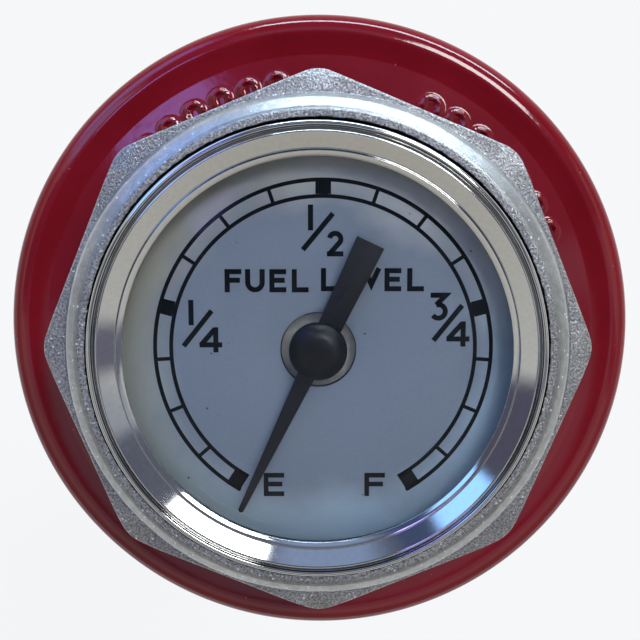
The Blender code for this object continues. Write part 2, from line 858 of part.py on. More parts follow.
def make_lower_pivot():
    """Steel pivot: slotted boss on the strip's lower end, plain pin in the lower bearing."""
    boss_top = STRIP_BOTTOM + STRIP_SLOT_DEPTH
    boss_bottom = STRIP_BOTTOM - 0.0010
    pin_bottom = FOOT_BOTTOM - 0.0006
    outline = [
        (0.0, boss_top),
        (DRIVER_RADIUS, boss_top),
        (DRIVER_RADIUS, boss_bottom),
        (LOWER_PIVOT_RADIUS, boss_bottom),
        (LOWER_PIVOT_RADIUS, pin_bottom),
        (0.0, pin_bottom),
    ]
    pivot = part("lower_pivot", turned(outline, SMALL_STEPS), plated_steel())
    slot = slot_cutter(
        STRIP_BOTTOM - SEAT_GAP,
        boss_top + 0.002,
        strip_angle(STRIP_BOTTOM + STRIP_SLOT_DEPTH / 2),
        4 * DRIVER_RADIUS,
        STRIP_THICKNESS + 2 * SEAT_GAP,
    )
    cutter = shape(pivot, "DIFFERENCE", "lower_slot", slot)
    return [pivot, cutter]


def make_spindle_group():
    """Everything that turns with the strip."""
    magnet_bottom = 0.0040
    magnet_top = WEB_UNDERSIDE - 0.0008
    magnet = ring(
        "drive_magnet",
        SPINDLE_RADIUS + RUNNING_GAP,
        0.0056,
        magnet_bottom,
        magnet_top,
        SMALL_STEPS,
        magnet_grey(),
    )
    axis = axis_empty("spindle_axis")
    carry(axis, [make_twist_strip(), *make_upper_spindle(), *make_lower_pivot(), magnet])


def float_plate(name, bottom, top):
    """Brass disc on one end of the float, running on both rods and held by two rivets."""
    plate = part(name, pin(PLATE_RADIUS, bottom, top, MEDIUM_STEPS), brass())
    margin = 0.002
    tools = []
    holes = [
        ("rod_left", -ROD_OFFSET, 0.0, ROD_RADIUS + SEAT_GAP),
        ("rod_right", ROD_OFFSET, 0.0, ROD_RADIUS + SEAT_GAP),
        ("rivet_front", 0.0, -RIVET_OFFSET, RIVET_RADIUS + RUNNING_GAP),
        ("rivet_back", 0.0, RIVET_OFFSET, RIVET_RADIUS + RUNNING_GAP),
    ]
    for label, x, y, radius in holes:
        hole = pin(radius, bottom - margin, top + margin, ROD_STEPS, x=x, y=y)
        tools.append(shape(plate, "DIFFERENCE", f"{name}_{label}", hole))
    return plate, tools


def make_float():
    """Cork cylinder with rounded ends, bored for the strip, the rods and the rivets."""
    round_radius = 0.0020
    upper = arc(
        (FLOAT_RADIUS - round_radius, FLOAT_TOP - round_radius), round_radius, 90.0, 0.0, 3
    )
    lower = arc(
        (FLOAT_RADIUS - round_radius, FLOAT_BOTTOM + round_radius), round_radius, 0.0, -90.0, 3
    )
    outline = [
        (FLOAT_BORE_RADIUS, FLOAT_TOP),
        *upper,
        *lower,
        (FLOAT_BORE_RADIUS, FLOAT_BOTTOM),
    ]
    body = part("float", turned(outline, MEDIUM_STEPS), cork())
    margin = 0.004
    rod_clearance = 0.0006
    holes = [
        ("rod_left", -ROD_OFFSET, 0.0, ROD_RADIUS + rod_clearance),
        ("rod_right", ROD_OFFSET, 0.0, ROD_RADIUS + rod_clearance),
        ("rivet_front", 0.0, -RIVET_OFFSET, RIVET_RADIUS + RUNNING_GAP),
        ("rivet_back", 0.0, RIVET_OFFSET, RIVET_RADIUS + RUNNING_GAP),
    ]
    tools = []
    for label, x, y, radius in holes:
        hole = pin(radius, FLOAT_BOTTOM - margin, FLOAT_TOP + margin, ROD_STEPS, x=x, y=y)
        tools.append(shape(body, "DIFFERENCE", f"float_{label}", hole))
    return [body, *tools]


def make_float_rivet(name, y):
    """Brass rivet through float and plates, with a low head on each end."""
    head_radius = 0.0021
    crown_radius = 0.0012
    top = FLOAT_STACK_TOP
    bottom = FLOAT_STACK_BOTTOM
    outline = [
        (0.0, top),
        (crown_radius, top),
        (head_radius, top - RIVET_HEAD),
        (RIVET_RADIUS, top - RIVET_HEAD),
        (RIVET_RADIUS, bottom + RIVET_HEAD),
        (head_radius, bottom + RIVET_HEAD),
        (crown_radius, bottom),
        (0.0, bottom),
    ]
    rivet = part(name, turned(outline, ROD_STEPS), brass())
    rivet.location.y = y
    return rivet


def make_float_group():
    """Everything that rises and falls with the fuel."""
    top_plate, top_tools = float_plate("float_plate_top", TOP_PLATE_BOTTOM, TOP_PLATE_TOP)
    clearance = 0.0004
    slot = slot_cutter(
        TOP_PLATE_BOTTOM - 0.002,
        TOP_PLATE_TOP + 0.002,
        0.0,
        STRIP_WIDTH + 2 * clearance,
        STRIP_THICKNESS + 2 * clearance,
    )
    top_tools.append(shape(top_plate, "DIFFERENCE", "driving_slot", slot))
    lower_plate, lower_tools = float_plate(
        "float_plate_bottom", LOWER_PLATE_BOTTOM, LOWER_PLATE_TOP
    )
    strip_hole = pin(
        FLOAT_BORE_RADIUS, LOWER_PLATE_BOTTOM - 0.002, LOWER_PLATE_TOP + 0.002, SMALL_STEPS
    )
    lower_tools.append(shape(lower_plate, "DIFFERENCE", "lower_strip_hole", strip_hole))
    rivets = [
        make_float_rivet("float_rivet_front", -RIVET_OFFSET),
        make_float_rivet("float_rivet_back", RIVET_OFFSET),
    ]
    slide = axis_empty("float_slide")
    carry(slide, [top_plate, *top_tools, lower_plate, *lower_tools, *make_float(), *rivets])


def build():
    remove_everything()
    make_head_body()
    make_bezel()
    make_lens()
    make_lens_gasket()
    make_dial()
    make_pivot_pin()
    make_pointer_group()
    make_cap_shell()
    make_spring_disc()
    make_cap_gasket()
    make_head_gasket()
    make_clamp_washer()
    make_lock_nut()
    make_upper_bush()
    make_guide_rod("guide_rod_left", -ROD_OFFSET)
    make_guide_rod("guide_rod_right", ROD_OFFSET)
    make_foot_plate()
    make_rod_nut("rod_nut_left", -ROD_OFFSET)
    make_rod_nut("rod_nut_right", ROD_OFFSET)
    make_lower_bush()
    make_spindle_group()
    make_float_group()


build()
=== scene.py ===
"""Fuel gauge in a filler cap: the looks of every piece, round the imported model.

Metres, +Z up and out of the dial. The pieces follow the order in which the gauge goes together:
head, cap and its clamp, float and its drive, then dial, pointer, glass and bezel.
"""

import math

import bmesh
import bpy
from mathutils import Matrix, Vector, noise


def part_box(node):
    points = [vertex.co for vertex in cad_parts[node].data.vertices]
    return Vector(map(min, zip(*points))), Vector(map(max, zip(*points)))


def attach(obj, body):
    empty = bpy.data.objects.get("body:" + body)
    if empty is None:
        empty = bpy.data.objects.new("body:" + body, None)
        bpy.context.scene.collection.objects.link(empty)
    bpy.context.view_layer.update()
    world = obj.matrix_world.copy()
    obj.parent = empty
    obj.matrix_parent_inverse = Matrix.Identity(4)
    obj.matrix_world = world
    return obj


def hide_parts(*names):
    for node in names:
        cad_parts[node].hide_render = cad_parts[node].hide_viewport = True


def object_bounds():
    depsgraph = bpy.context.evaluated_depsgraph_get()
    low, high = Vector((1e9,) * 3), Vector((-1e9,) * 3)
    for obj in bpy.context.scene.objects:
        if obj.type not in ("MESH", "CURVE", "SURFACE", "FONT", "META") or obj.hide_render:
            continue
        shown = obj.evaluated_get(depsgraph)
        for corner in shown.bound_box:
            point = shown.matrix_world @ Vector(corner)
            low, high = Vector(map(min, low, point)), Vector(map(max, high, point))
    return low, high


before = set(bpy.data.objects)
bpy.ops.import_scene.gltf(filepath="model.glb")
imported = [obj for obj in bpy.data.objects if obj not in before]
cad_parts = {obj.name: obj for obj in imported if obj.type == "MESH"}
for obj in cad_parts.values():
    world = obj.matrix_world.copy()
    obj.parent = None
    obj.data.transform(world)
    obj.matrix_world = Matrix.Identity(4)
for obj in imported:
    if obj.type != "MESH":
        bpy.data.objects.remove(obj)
cad_low, cad_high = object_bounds()

# Camera: above the upper edge of the dial, leaning back towards the middle of the gauge,
# so the raised head stands a little below the middle of the cap.
camera_place = (0.00167, 0.01655, 0.11001)
camera_lean = math.radians(-6.61)
camera_roll = (math.radians(-0.38), math.radians(0.11))
camera_lens = 47.97
camera_shift = (-0.030, -0.034)

camera_data = bpy.data.cameras.new("camera")
camera_data.lens = camera_lens
camera_data.sensor_width = 36.0
camera_data.shift_x = camera_shift[0]
camera_data.shift_y = camera_shift[1]
camera_data.clip_start = 0.01
camera_data.clip_end = 20.0
camera = bpy.data.objects.new("camera", camera_data)
camera.location = camera_place
camera.rotation_euler = (camera_lean, *camera_roll)
bpy.context.scene.collection.objects.link(camera)
bpy.context.scene.camera = camera
bpy.context.scene.view_settings.view_transform = "Standard"

# Floor: a plain white sheet under the rods' ends. What looks at it straight or by reflection
# sees it white, and part of the object's shadow stays on it.
floor_half_width = 4.0
floor_gap = 0.0002
floor_white = (0.90, 0.90, 0.90, 1.0)
floor_glow = 0.82

floor_mesh = bpy.data.meshes.new("floor")
floor_bm = bmesh.new()
bmesh.ops.create_grid(floor_bm, x_segments=1, y_segments=1, size=floor_half_width)
bmesh.ops.translate(floor_bm, verts=floor_bm.verts, vec=(0.0, 0.0, cad_low.z - floor_gap))
floor_bm.to_mesh(floor_mesh)
floor_bm.free()
floor = bpy.data.objects.new("floor", floor_mesh)
bpy.context.scene.collection.objects.link(floor)

floor_finish = bpy.data.materials.new("floor_white")
floor_finish.use_nodes = True
floor_tree = floor_finish.node_tree
floor_shader = floor_tree.nodes["Principled BSDF"]
floor_shader.inputs["Base Color"].default_value = floor_white
floor_shader.inputs["Roughness"].default_value = 0.9
floor_shader.inputs["Specular IOR Level"].default_value = 0.1
floor_light = floor_tree.nodes.new("ShaderNodeEmission")
floor_light.inputs["Color"].default_value = (1.0, 1.0, 1.0, 1.0)
floor_rays = floor_tree.nodes.new("ShaderNodeLightPath").outputs


def sums(tree, operation, *values):
    """One arithmetic step on amounts, each of them a number or what another node gives."""
    node = tree.nodes.new("ShaderNodeMath")
    node.operation = operation
    for socket, value in zip(node.inputs, values):
        if isinstance(value, float):
            socket.default_value = value
        else:
            tree.links.new(value, socket)
    return node.outputs["Value"]


seen = floor_rays["Is Camera Ray"]
for ray in ("Is Glossy Ray", "Is Transmission Ray"):
    seen = sums(floor_tree, "MAXIMUM", seen, floor_rays[ray])
floor_mix = floor_tree.nodes.new("ShaderNodeMixShader")
floor_tree.links.new(sums(floor_tree, "MULTIPLY", seen, floor_glow), floor_mix.inputs["Fac"])
floor_tree.links.new(floor_shader.outputs["BSDF"], floor_mix.inputs[1])
floor_tree.links.new(floor_light.outputs["Emission"], floor_mix.inputs[2])
floor_surface = floor_tree.nodes["Material Output"].inputs["Surface"]
floor_tree.links.new(floor_mix.outputs["Shader"], floor_surface)
floor_mesh.materials.append(floor_finish)

# Studio: a room whose walls darken upwards, with soft-edged fields on them: window panes, the
# dark frames between them, patches of sky and a low strip of daylight. The metal and the
# paint mirror all of it.
wall_shades = (
    (0.00, (0.20, 0.20, 0.19)),
    (0.34, (0.22, 0.215, 0.20)),
    (0.41, (0.41, 0.40, 0.355)),
    (0.69, (0.52, 0.52, 0.51)),
    (0.75, (0.34, 0.37, 0.42)),
    (0.88, (0.30, 0.34, 0.42)),
    (0.92, (0.05, 0.05, 0.05)),
    (1.00, (0.035, 0.035, 0.04)),
)
ceiling_lean = math.radians(12.0)
ceiling_middle = (0.0, math.sin(ceiling_lean), math.cos(ceiling_lean))

world = bpy.data.worlds.new("studio")
world.use_nodes = True
bpy.context.scene.world = world
world_tree = world.node_tree
direction = world_tree.nodes.new("ShaderNodeTexCoord").outputs["Generated"]


def along(vector):
    """How far the direction looked in points along a fixed one."""
    node = world_tree.nodes.new("ShaderNodeVectorMath")
    node.operation = "DOT_PRODUCT"
    world_tree.links.new(direction, node.inputs[0])
    node.inputs[1].default_value = vector
    return node.outputs["Value"]


def shades(tree, amount, *stops):
    """Turns an amount into a colour by (position, colour) stops."""
    ramp = tree.nodes.new("ShaderNodeValToRGB")
    while len(ramp.color_ramp.elements) < len(stops):
        ramp.color_ramp.elements.new(1.0)
    for element, (position, colour) in zip(ramp.color_ramp.elements, stops):
        element.position = position
        element.color = (*colour, 1.0)
    tree.links.new(amount, ramp.inputs["Fac"])
    return ramp.outputs["Color"]


def blended(tree, amount, first, second, way="MIX"):
    """A colour between two others, or the second laid over the first in another way."""
    mix = tree.nodes.new("ShaderNodeMix")
    mix.data_type = "RGBA"
    mix.blend_type = way
    colour_inputs = [socket for socket in mix.inputs if socket.type == "RGBA"]
    for socket, value in zip((mix.inputs["Factor"], *colour_inputs), (amount, first, second)):
        if isinstance(value, float):
            socket.default_value = value
        elif isinstance(value, tuple):
            socket.default_value = (*value, 1.0)
        else:
            tree.links.new(value, socket)
    return [socket for socket in mix.outputs if socket.type == "RGBA"][0]


def panel(under, azimuth, elevation, half_width, half_height, blur, colour):
    """A rectangle of another colour on the walls; angles in degrees, azimuth from +X to +Y."""
    turn = math.radians(azimuth)
    rise = math.radians(elevation)
    ahead = Vector(
        (math.cos(turn) * math.cos(rise), math.sin(turn) * math.cos(rise), math.sin(rise))
    )
    side = Vector((-math.sin(turn), math.cos(turn), 0.0))
    depth = along(ahead)
    inside = sums(world_tree, "GREATER_THAN", depth, 0.0)
    for vector, half_angle in ((side, half_width), (ahead.cross(side), half_height)):
        off = sums(world_tree, "ABSOLUTE", sums(world_tree, "DIVIDE", along(vector), depth))
        edge = world_tree.nodes.new("ShaderNodeMapRange")
        edge.interpolation_type = "SMOOTHSTEP"
        edge.inputs["From Min"].default_value = math.tan(math.radians(half_angle + blur))
        edge.inputs["From Max"].default_value = math.tan(math.radians(half_angle - blur))
        world_tree.links.new(off, edge.inputs["Value"])
        inside = sums(world_tree, "MULTIPLY", inside, edge.outputs["Result"])
    return blended(world_tree, inside, under, colour)


dark_wall = (0.07, 0.07, 0.08)
grey_frame = (0.085, 0.085, 0.130)
blue_frame = (0.060, 0.085, 0.170)
wide_frame = (0.110, 0.130, 0.190)
pale_frame = (0.110, 0.120, 0.165)
grey_sky = (0.14, 0.14, 0.19)
hazy_sky = (0.25, 0.33, 0.52)
bright_sky = (0.50, 1.00, 1.90)
violet_sky = (1.70, 1.45, 4.60)
daylight = (11.5, 11.8, 11.8)
blue_glow = (0.46, 0.95, 2.60)
low_daylight = (12.0, 15.5, 18.5)
studio_light = shades(world_tree, along(ceiling_middle), *wall_shades)
for field in (
    (75.0, 30.0, 42.0, 15.0, 3.0, dark_wall),
    (173.0, 52.0, 10.2, 18.0, 2.0, grey_frame),
    (122.0, 52.0, 8.0, 18.0, 2.0, blue_frame),
    (72.0, 52.0, 26.0, 18.0, 2.0, wide_frame),
    (22.0, 52.0, 8.6, 18.0, 2.0, pale_frame),
    (343.0, 46.0, 4.5, 16.0, 2.0, grey_sky),
    (95.0, 55.0, 10.0, 7.0, 4.0, hazy_sky),
    (147.0, 44.0, 6.5, 12.0, 1.5, bright_sky),
    (139.0, 65.5, 6.5, 2.6, 1.2, violet_sky),
    (54.0, 50.0, 10.0, 9.0, 1.0, daylight),
    (132.0, 17.0, 17.0, 11.0, 5.0, blue_glow),
    (76.0, 10.4, 28.0, 4.0, 1.6, low_daylight),
):
    studio_light = panel(studio_light, *field)
world_tree.links.new(studio_light, world_tree.nodes["Background"].inputs["Color"])

# Head: zinc casting, octagonal flange, round shoulder and threaded shank in one piece. The
# die leaves a grainy skin; the shoulder is skimmed smoother, and the shank's thread is cut.
across_flats = 0.05715
corner_round = 0.0037
flange_bottom = 0.0094
flange_top = 0.0164
chamfer_start = 0.0297
chamfer_drop = 0.00034
edge_round = 0.00028
shoulder_foot = 0.0281
shoulder_waist = (0.02745, 0.0182)
shoulder_reach = 0.0262
shoulder_top = 0.0192
mouth_radius = 0.0251
shank_radius = 0.0155
shank_bottom = -0.0160
thread_pitch = 0.0015
thread_depth = 0.00065
thread_top = 0.0072
thread_bottom = -0.0150
skim_heights = (0.0170, 0.0174)
skim_radii = (0.02590, 0.02615)
mouth_heights = (0.0120, 0.0125)
gap_shadow_radii = (0.02518, 0.02525)
head_steps = 360


def rounded(corners, loop=False, steps=5):
    """Points of an outline given as (radius, height, rounding), with each corner as an arc."""
    points = []
    for i, (x, y, rounding) in enumerate(corners):
        ends = not loop and i in (0, len(corners) - 1)
        if rounding == 0.0 or ends:
            points.append((x, y))
            continue
        corner = Vector((x, y))
        before = (Vector(corners[i - 1][:2]) - corner).normalized()
        after = (Vector(corners[(i + 1) % len(corners)][:2]) - corner).normalized()
        half = before.angle(after) / 2
        centre = corner + (before + after).normalized() * rounding / math.sin(half)
        first = corner + before * rounding / math.tan(half) - centre
        last = corner + after * rounding / math.tan(half) - centre
        start = math.atan2(first.y, first.x)
        sweep = math.atan2(last.y, last.x) - start
        sweep = (sweep + math.pi) % math.tau - math.pi
        for k in range(steps + 1):
            turn = start + sweep * k / steps
            points.append(
                (centre.x + rounding * math.cos(turn), centre.y + rounding * math.sin(turn))
            )
    return points


def turned(outline, steps, loop=False):
    """Turns (radius, height) points once round the gauge's axis."""
    bm = bmesh.new()
    corners = [bm.verts.new((radius, 0.0, height)) for radius, height in outline]
    ends = corners[1:] + corners[:1] if loop else corners[1:]
    edges = [bm.edges.new(pair) for pair in zip(corners, ends)]
    bmesh.ops.spin(
        bm,
        geom=corners + edges,
        cent=(0.0, 0.0, 0.0),
        axis=(0.0, 0.0, 1.0),
        angle=math.tau,
        steps=steps,
        use_merge=True,
    )
    bmesh.ops.remove_doubles(bm, verts=bm.verts, dist=0.0000005)
    bmesh.ops.recalc_face_normals(bm, faces=bm.faces)
    return bm


def add_piece(name, bm, finish, body, slot, *stands_for, sharp=38.0):
    """Makes a finished mesh a piece of the gauge that rides on a body and stands for CAD nodes."""
    mesh = bpy.data.meshes.new(name)
    bm.to_mesh(mesh)
    bm.free()
    mesh.shade_smooth()
    mesh.set_sharp_from_angle(angle=math.radians(sharp))
    mesh.materials.append(finish)
    piece = bpy.data.objects.new(name, mesh)
    bpy.context.scene.collection.objects.link(piece)
    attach(piece, body)
    if stands_for:
        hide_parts(*stands_for)
    return piece


def octagon_reach(turn):
    """How far the octagon's round-cornered outline reaches from the axis in this direction."""
    eighth = math.tau / 8
    off_corner = abs((turn + eighth / 2) % eighth - eighth / 2)
    centre = (across_flats / 2 - corner_round) / math.cos(eighth / 2)
    inside = corner_round**2 - (centre * math.sin(off_corner)) ** 2
    if inside > 0.0:
        on_arc = centre * math.cos(off_corner) + math.sqrt(inside)
        arc_turn = math.atan2(
            on_arc * math.sin(off_corner), on_arc * math.cos(off_corner) - centre
        )
        if arc_turn <= eighth / 2:
            return on_arc
    return across_flats / 2 / math.cos(eighth / 2 - off_corner)


def thread_groove(turn, height):
    """Depth of a right-hand V thread here, faded out at both ends of its length."""
    along = (height / thread_pitch - turn / math.tau) % 1.0
    wave = 1.0 - abs(2.0 * along - 1.0)
    wave = min(max((wave - 0.12) / 0.76, 0.0), 1.0)
    fade = min((thread_top - height) / thread_pitch, (height - thread_bottom) / thread_pitch)
    return thread_depth * wave * min(max(fade, 0.0), 1.0)


corner_reach = octagon_reach(0.0)
head_upper = rounded(
    [
        (0.0, 0.0105, 0.0),
        (0.0070, 0.0105, 0.0003),
        (0.0070, 0.0155, 0.0003),
        (0.0236, 0.0155, 0.0002),
        (0.0236, 0.0166, 0.0001),
        (mouth_radius, 0.0166, 0.0001),
        (mouth_radius, shoulder_top, 0.00018),
        (shoulder_reach, shoulder_top, 0.0009),
        (*shoulder_waist, 0.0008),
        (shoulder_foot - 0.0002, flange_top + 0.00045, 0.0001),
        (shoulder_foot, flange_top, 0.00008),
        (chamfer_start, flange_top, 0.0),
        (corner_reach, flange_top, edge_round),
        (corner_reach, flange_bottom + 0.0006, 0.0002),
        (corner_reach - 0.0012, flange_bottom, 0.0002),
        (shank_radius, flange_bottom, 0.0004),
        (shank_radius, thread_top + 0.0006, 0.0),
    ]
)
rows_a_pitch = 8
thread_rows = round((thread_top - thread_bottom) / thread_pitch * rows_a_pitch)
head_thread = [
    (shank_radius, thread_top + (thread_bottom - thread_top) * i / thread_rows)
    for i in range(thread_rows + 1)
]
head_lower = rounded(
    [
        (shank_radius, shank_bottom + 0.0009, 0.0),
        (shank_radius - 0.0009, shank_bottom, 0.0001),
        (0.0075, shank_bottom, 0.0002),
        (0.0075, 0.0090, 0.0003),
        (0.0, 0.0090, 0.0),
    ]
)
head_bm = turned(head_upper + head_thread + head_lower, head_steps)
mouth_wear = 0.00007
skin_wave = 0.00003
for vert in head_bm.verts:
    radius = math.hypot(vert.co.x, vert.co.y)
    turn = math.atan2(vert.co.y, vert.co.x)
    height = vert.co.z
    reach = radius
    if radius > shoulder_foot + 0.0002 and height > flange_bottom - 0.0002:
        outer = octagon_reach(turn)
        on_top = height > (flange_bottom + flange_top) / 2
        inset = min(corner_reach - radius, edge_round) if on_top else 0.0
        reach = min(radius, outer - inset)
        if on_top and radius > chamfer_start + 0.0001:
            cone = (outer - chamfer_start) / (corner_reach - chamfer_start)
            vert.co.z -= chamfer_drop * min(max(cone, 0.0), 1.0)
    elif radius > shank_radius - 0.0001 and thread_bottom < height < thread_top:
        reach = radius - thread_groove(turn, height)
    elif height > shoulder_top - 0.0004 and radius < shoulder_reach - 0.0004:
        chip = noise.noise(Vector((vert.co.x, vert.co.y, 0.0)) * 1800.0)
        reach = radius - mouth_wear * chip
        vert.co.z -= mouth_wear * abs(chip)
    elif height > flange_top + 0.0001:
        reach = radius + skin_wave * noise.noise(Vector(vert.co) * 700.0)
    if radius > 0.0:
        vert.co.x *= reach / radius
        vert.co.y *= reach / radius


def begin_finish(name):
    """A finish to build up: its node tree, its shader and the piece's own coordinates."""
    finish = bpy.data.materials.new(name)
    finish.use_nodes = True
    tree = finish.node_tree
    place = tree.nodes.new("ShaderNodeTexCoord").outputs["Object"]
    return finish, tree, tree.nodes["Principled BSDF"], place


def grain(tree, place, lump, detail=3.0, roughness=0.55):
    """Noise whose lumps are about this many metres across."""
    texture = tree.nodes.new("ShaderNodeTexNoise")
    texture.inputs["Scale"].default_value = 1.0 / lump
    texture.inputs["Detail"].default_value = detail
    texture.inputs["Roughness"].default_value = roughness
    tree.links.new(place, texture.inputs["Vector"])
    return texture.outputs["Fac"]


def spots(tree, place, pitch, size):
    """Round specks in a loose pattern: 1 in a speck and 0 elsewhere. Size is a share of the pitch."""
    cells = tree.nodes.new("ShaderNodeTexVoronoi")
    cells.inputs["Scale"].default_value = 1.0 / pitch
    tree.links.new(place, cells.inputs["Vector"])
    return span(tree, cells.outputs["Distance"], size, size * 0.6, 0.0, 1.0)


def span(tree, amount, from_low, from_high, to_low, to_high):
    """Maps one range of an amount to another, held at both ends."""
    node = tree.nodes.new("ShaderNodeMapRange")
    node.inputs["From Min"].default_value = from_low
    node.inputs["From Max"].default_value = from_high
    node.inputs["To Min"].default_value = to_low
    node.inputs["To Max"].default_value = to_high
    tree.links.new(amount, node.inputs["Value"])
    return node.outputs["Result"]


def relief(tree, shader, height, depth, under=None):
    """Bump of this depth in metres, over another one if there is one."""
    bump = tree.nodes.new("ShaderNodeBump")
    bump.inputs["Distance"].default_value = depth
    bump.inputs["Strength"].default_value = 1.0
    tree.links.new(height, bump.inputs["Height"])
    if under is not None:
        tree.links.new(under, bump.inputs["Normal"])
    tree.links.new(bump.outputs["Normal"], shader.inputs["Normal"])
    return bump.outputs["Normal"]


def axis_distance(tree, place):
    """How far a point of the piece is from the gauge's axis, and its height, as sockets."""
    split = tree.nodes.new("ShaderNodeSeparateXYZ")
    tree.links.new(place, split.inputs["Vector"])
    flat = tree.nodes.new("ShaderNodeCombineXYZ")
    tree.links.new(split.outputs["X"], flat.inputs["X"])
    tree.links.new(split.outputs["Y"], flat.inputs["Y"])
    length = tree.nodes.new("ShaderNodeVectorMath")
    length.operation = "LENGTH"
    tree.links.new(flat.outputs["Vector"], length.inputs[0])
    return length.outputs["Value"], split.outputs["Z"]


def turning_lines(tree, place, pitch):
    """Fine rings left by a lathe tool, read from distance and height only."""
    distance, height = axis_distance(tree, place)
    lathe = tree.nodes.new("ShaderNodeCombineXYZ")
    tree.links.new(distance, lathe.inputs["X"])
    tree.links.new(height, lathe.inputs["Z"])
    return grain(tree, lathe.outputs["Vector"], pitch, 2.0)


def cast_zinc():
    """Grey die-cast skin: grainy, smoother where the shoulder is skimmed, with painted glints and a
    painted black shadow ring in the mouth.
    """
    finish, tree, shader, place = begin_finish("cast_zinc")
    fine = grain(tree, place, 0.00026, 3.0, 0.7)
    coarse = grain(tree, place, 0.0008, 3.0, 0.6)
    patch = grain(tree, place, 0.009, 3.0, 0.5)
    distance, height = axis_distance(tree, place)
    above = span(tree, height, *skim_heights, 0.0, 1.0)
    outside = span(tree, distance, *skim_radii, 0.0, 1.0)
    skimmed = sums(tree, "MULTIPLY", above, outside)
    rough_skin = span(tree, skimmed, 0.0, 1.0, 1.0, 0.25)
    skin = shades(
        tree,
        fine,
        (0.30, (0.15, 0.145, 0.155)),
        (0.50, (0.46, 0.455, 0.46)),
        (0.70, (0.92, 0.92, 0.91)),
    )
    smooth = shades(
        tree,
        coarse,
        (0.30, (0.46, 0.465, 0.46)),
        (0.70, (0.64, 0.65, 0.64)),
    )
    clean = blended(tree, skimmed, skin, smooth)
    worn = shades(tree, patch, (0.30, (0.78, 0.78, 0.80)), (0.70, (1.0, 1.0, 1.0)))
    tinted = blended(tree, 1.0, clean, worn, "MULTIPLY")
    # Painted glints: near-white, less metallic specks stand in for sparkles of light on the grains.
    painted_glint = spots(tree, place, 0.0009, 0.17)
    bright = blended(tree, painted_glint, tinted, (0.92, 0.93, 0.96))
    # Painted shadow: a thin black ring in the mouth, where the gap between head and bezel lies in shade.
    ragged = sums(tree, "ADD", distance, span(tree, coarse, 0.3, 0.7, -0.00008, 0.00008))
    in_mouth = span(tree, height, *mouth_heights, 0.0, 1.0)
    painted_gap_shadow = sums(tree, "MULTIPLY", in_mouth, span(tree, ragged, *gap_shadow_radii, 1.0, 0.0))
    tree.links.new(blended(tree, painted_gap_shadow, bright, (0.02, 0.02, 0.02)), shader.inputs["Base Color"])
    tree.links.new(span(tree, painted_glint, 0.0, 1.0, 0.85, 0.15), shader.inputs["Metallic"])
    tree.links.new(span(tree, fine, 0.3, 0.7, 0.46, 0.26), shader.inputs["Roughness"])
    low = relief(tree, shader, sums(tree, "MULTIPLY", coarse, rough_skin), 0.00008)
    relief(tree, shader, sums(tree, "MULTIPLY", fine, rough_skin), 0.00011, low)
    return finish


cast_zinc_finish = cast_zinc()
add_piece("cast_head", head_bm, cast_zinc_finish, "head", "cast_zinc", "head_body", sharp=30.0)

# Rubber rings: one under the head on the cap, one that the filler neck presses into, and one
# between dial and glass. Each is punched from black sheet rubber.
ring_steps = 128


def flat_ring(inner, outer, bottom, top, edge):
    """A washer with slightly rounded edges."""
    corners = [(inner, top), (outer, top), (outer, bottom), (inner, bottom)]
    return turned(rounded([(*c, edge) for c in corners], loop=True, steps=3), ring_steps, True)


def black_rubber():
    """Dull black rubber with a bloom of dust."""
    finish, tree, shader, place = begin_finish("black_rubber")
    dust = grain(tree, place, 0.004, 4.0)
    tree.links.new(
        shades(tree, dust, (0.35, (0.016, 0.016, 0.017)), (0.75, (0.045, 0.043, 0.041))),
        shader.inputs["Base Color"],
    )
    tree.links.new(span(tree, dust, 0.3, 0.7, 0.62, 0.80), shader.inputs["Roughness"])
    relief(tree, shader, grain(tree, place, 0.0003, 3.0), 0.00003)
    return finish


rubber_finish = black_rubber()
rubber_edge = 0.00015
rubber_rings = {"head_gasket": 0.0160, "cap_gasket": 0.0250, "lens_gasket": 0.0218}
for node, inner in rubber_rings.items():
    low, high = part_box(node)
    ring_bm = flat_ring(inner, high.x, low.z, high.z, rubber_edge)
    add_piece(f"rubber_{node}", ring_bm, rubber_finish, "head", "black_rubber", node)

# Cap: pressed from 1 mm steel sheet and painted glossy red. The rim is rolled over a round
# nose, two bayonet lugs are turned in from the skirt, and low scallops are pressed in the ring.
cap_sheet = 0.0010
cap_radius = 0.0391
cap_steps = 720
skirt_bottom = -0.0090
rubbed_from = 0.0378
rubbed_to = 0.0382
scallop_height = 0.00042
scallop_stroke = 0.00052
scallop_radius = 0.00105
scallop_ring = 0.0309
scallop_opening = math.radians(205.0)
scallop_pitch = math.radians(6.6)
scallops_a_group = 7
group_middles = [math.radians(angle) for angle in (44.2, 119.4, 224.2, 299.4)]


def sheet(line, thickness):
    """The outline of pressed sheet: a line read outwards and down, and one sheet below it."""
    points = [Vector(point) for point in line]
    steps = [(after - before).normalized() for before, after in zip(points, points[1:])]
    sides = [Vector((step.y, -step.x)) for step in steps]
    below = []
    for i, point in enumerate(points):
        first = sides[max(i - 1, 0)]
        second = sides[min(i, len(sides) - 1)]
        mitre = (first + second) / (1.0 + first.dot(second))
        below.append(tuple(point + mitre * thickness))
    return [tuple(point) for point in points] + below[::-1]


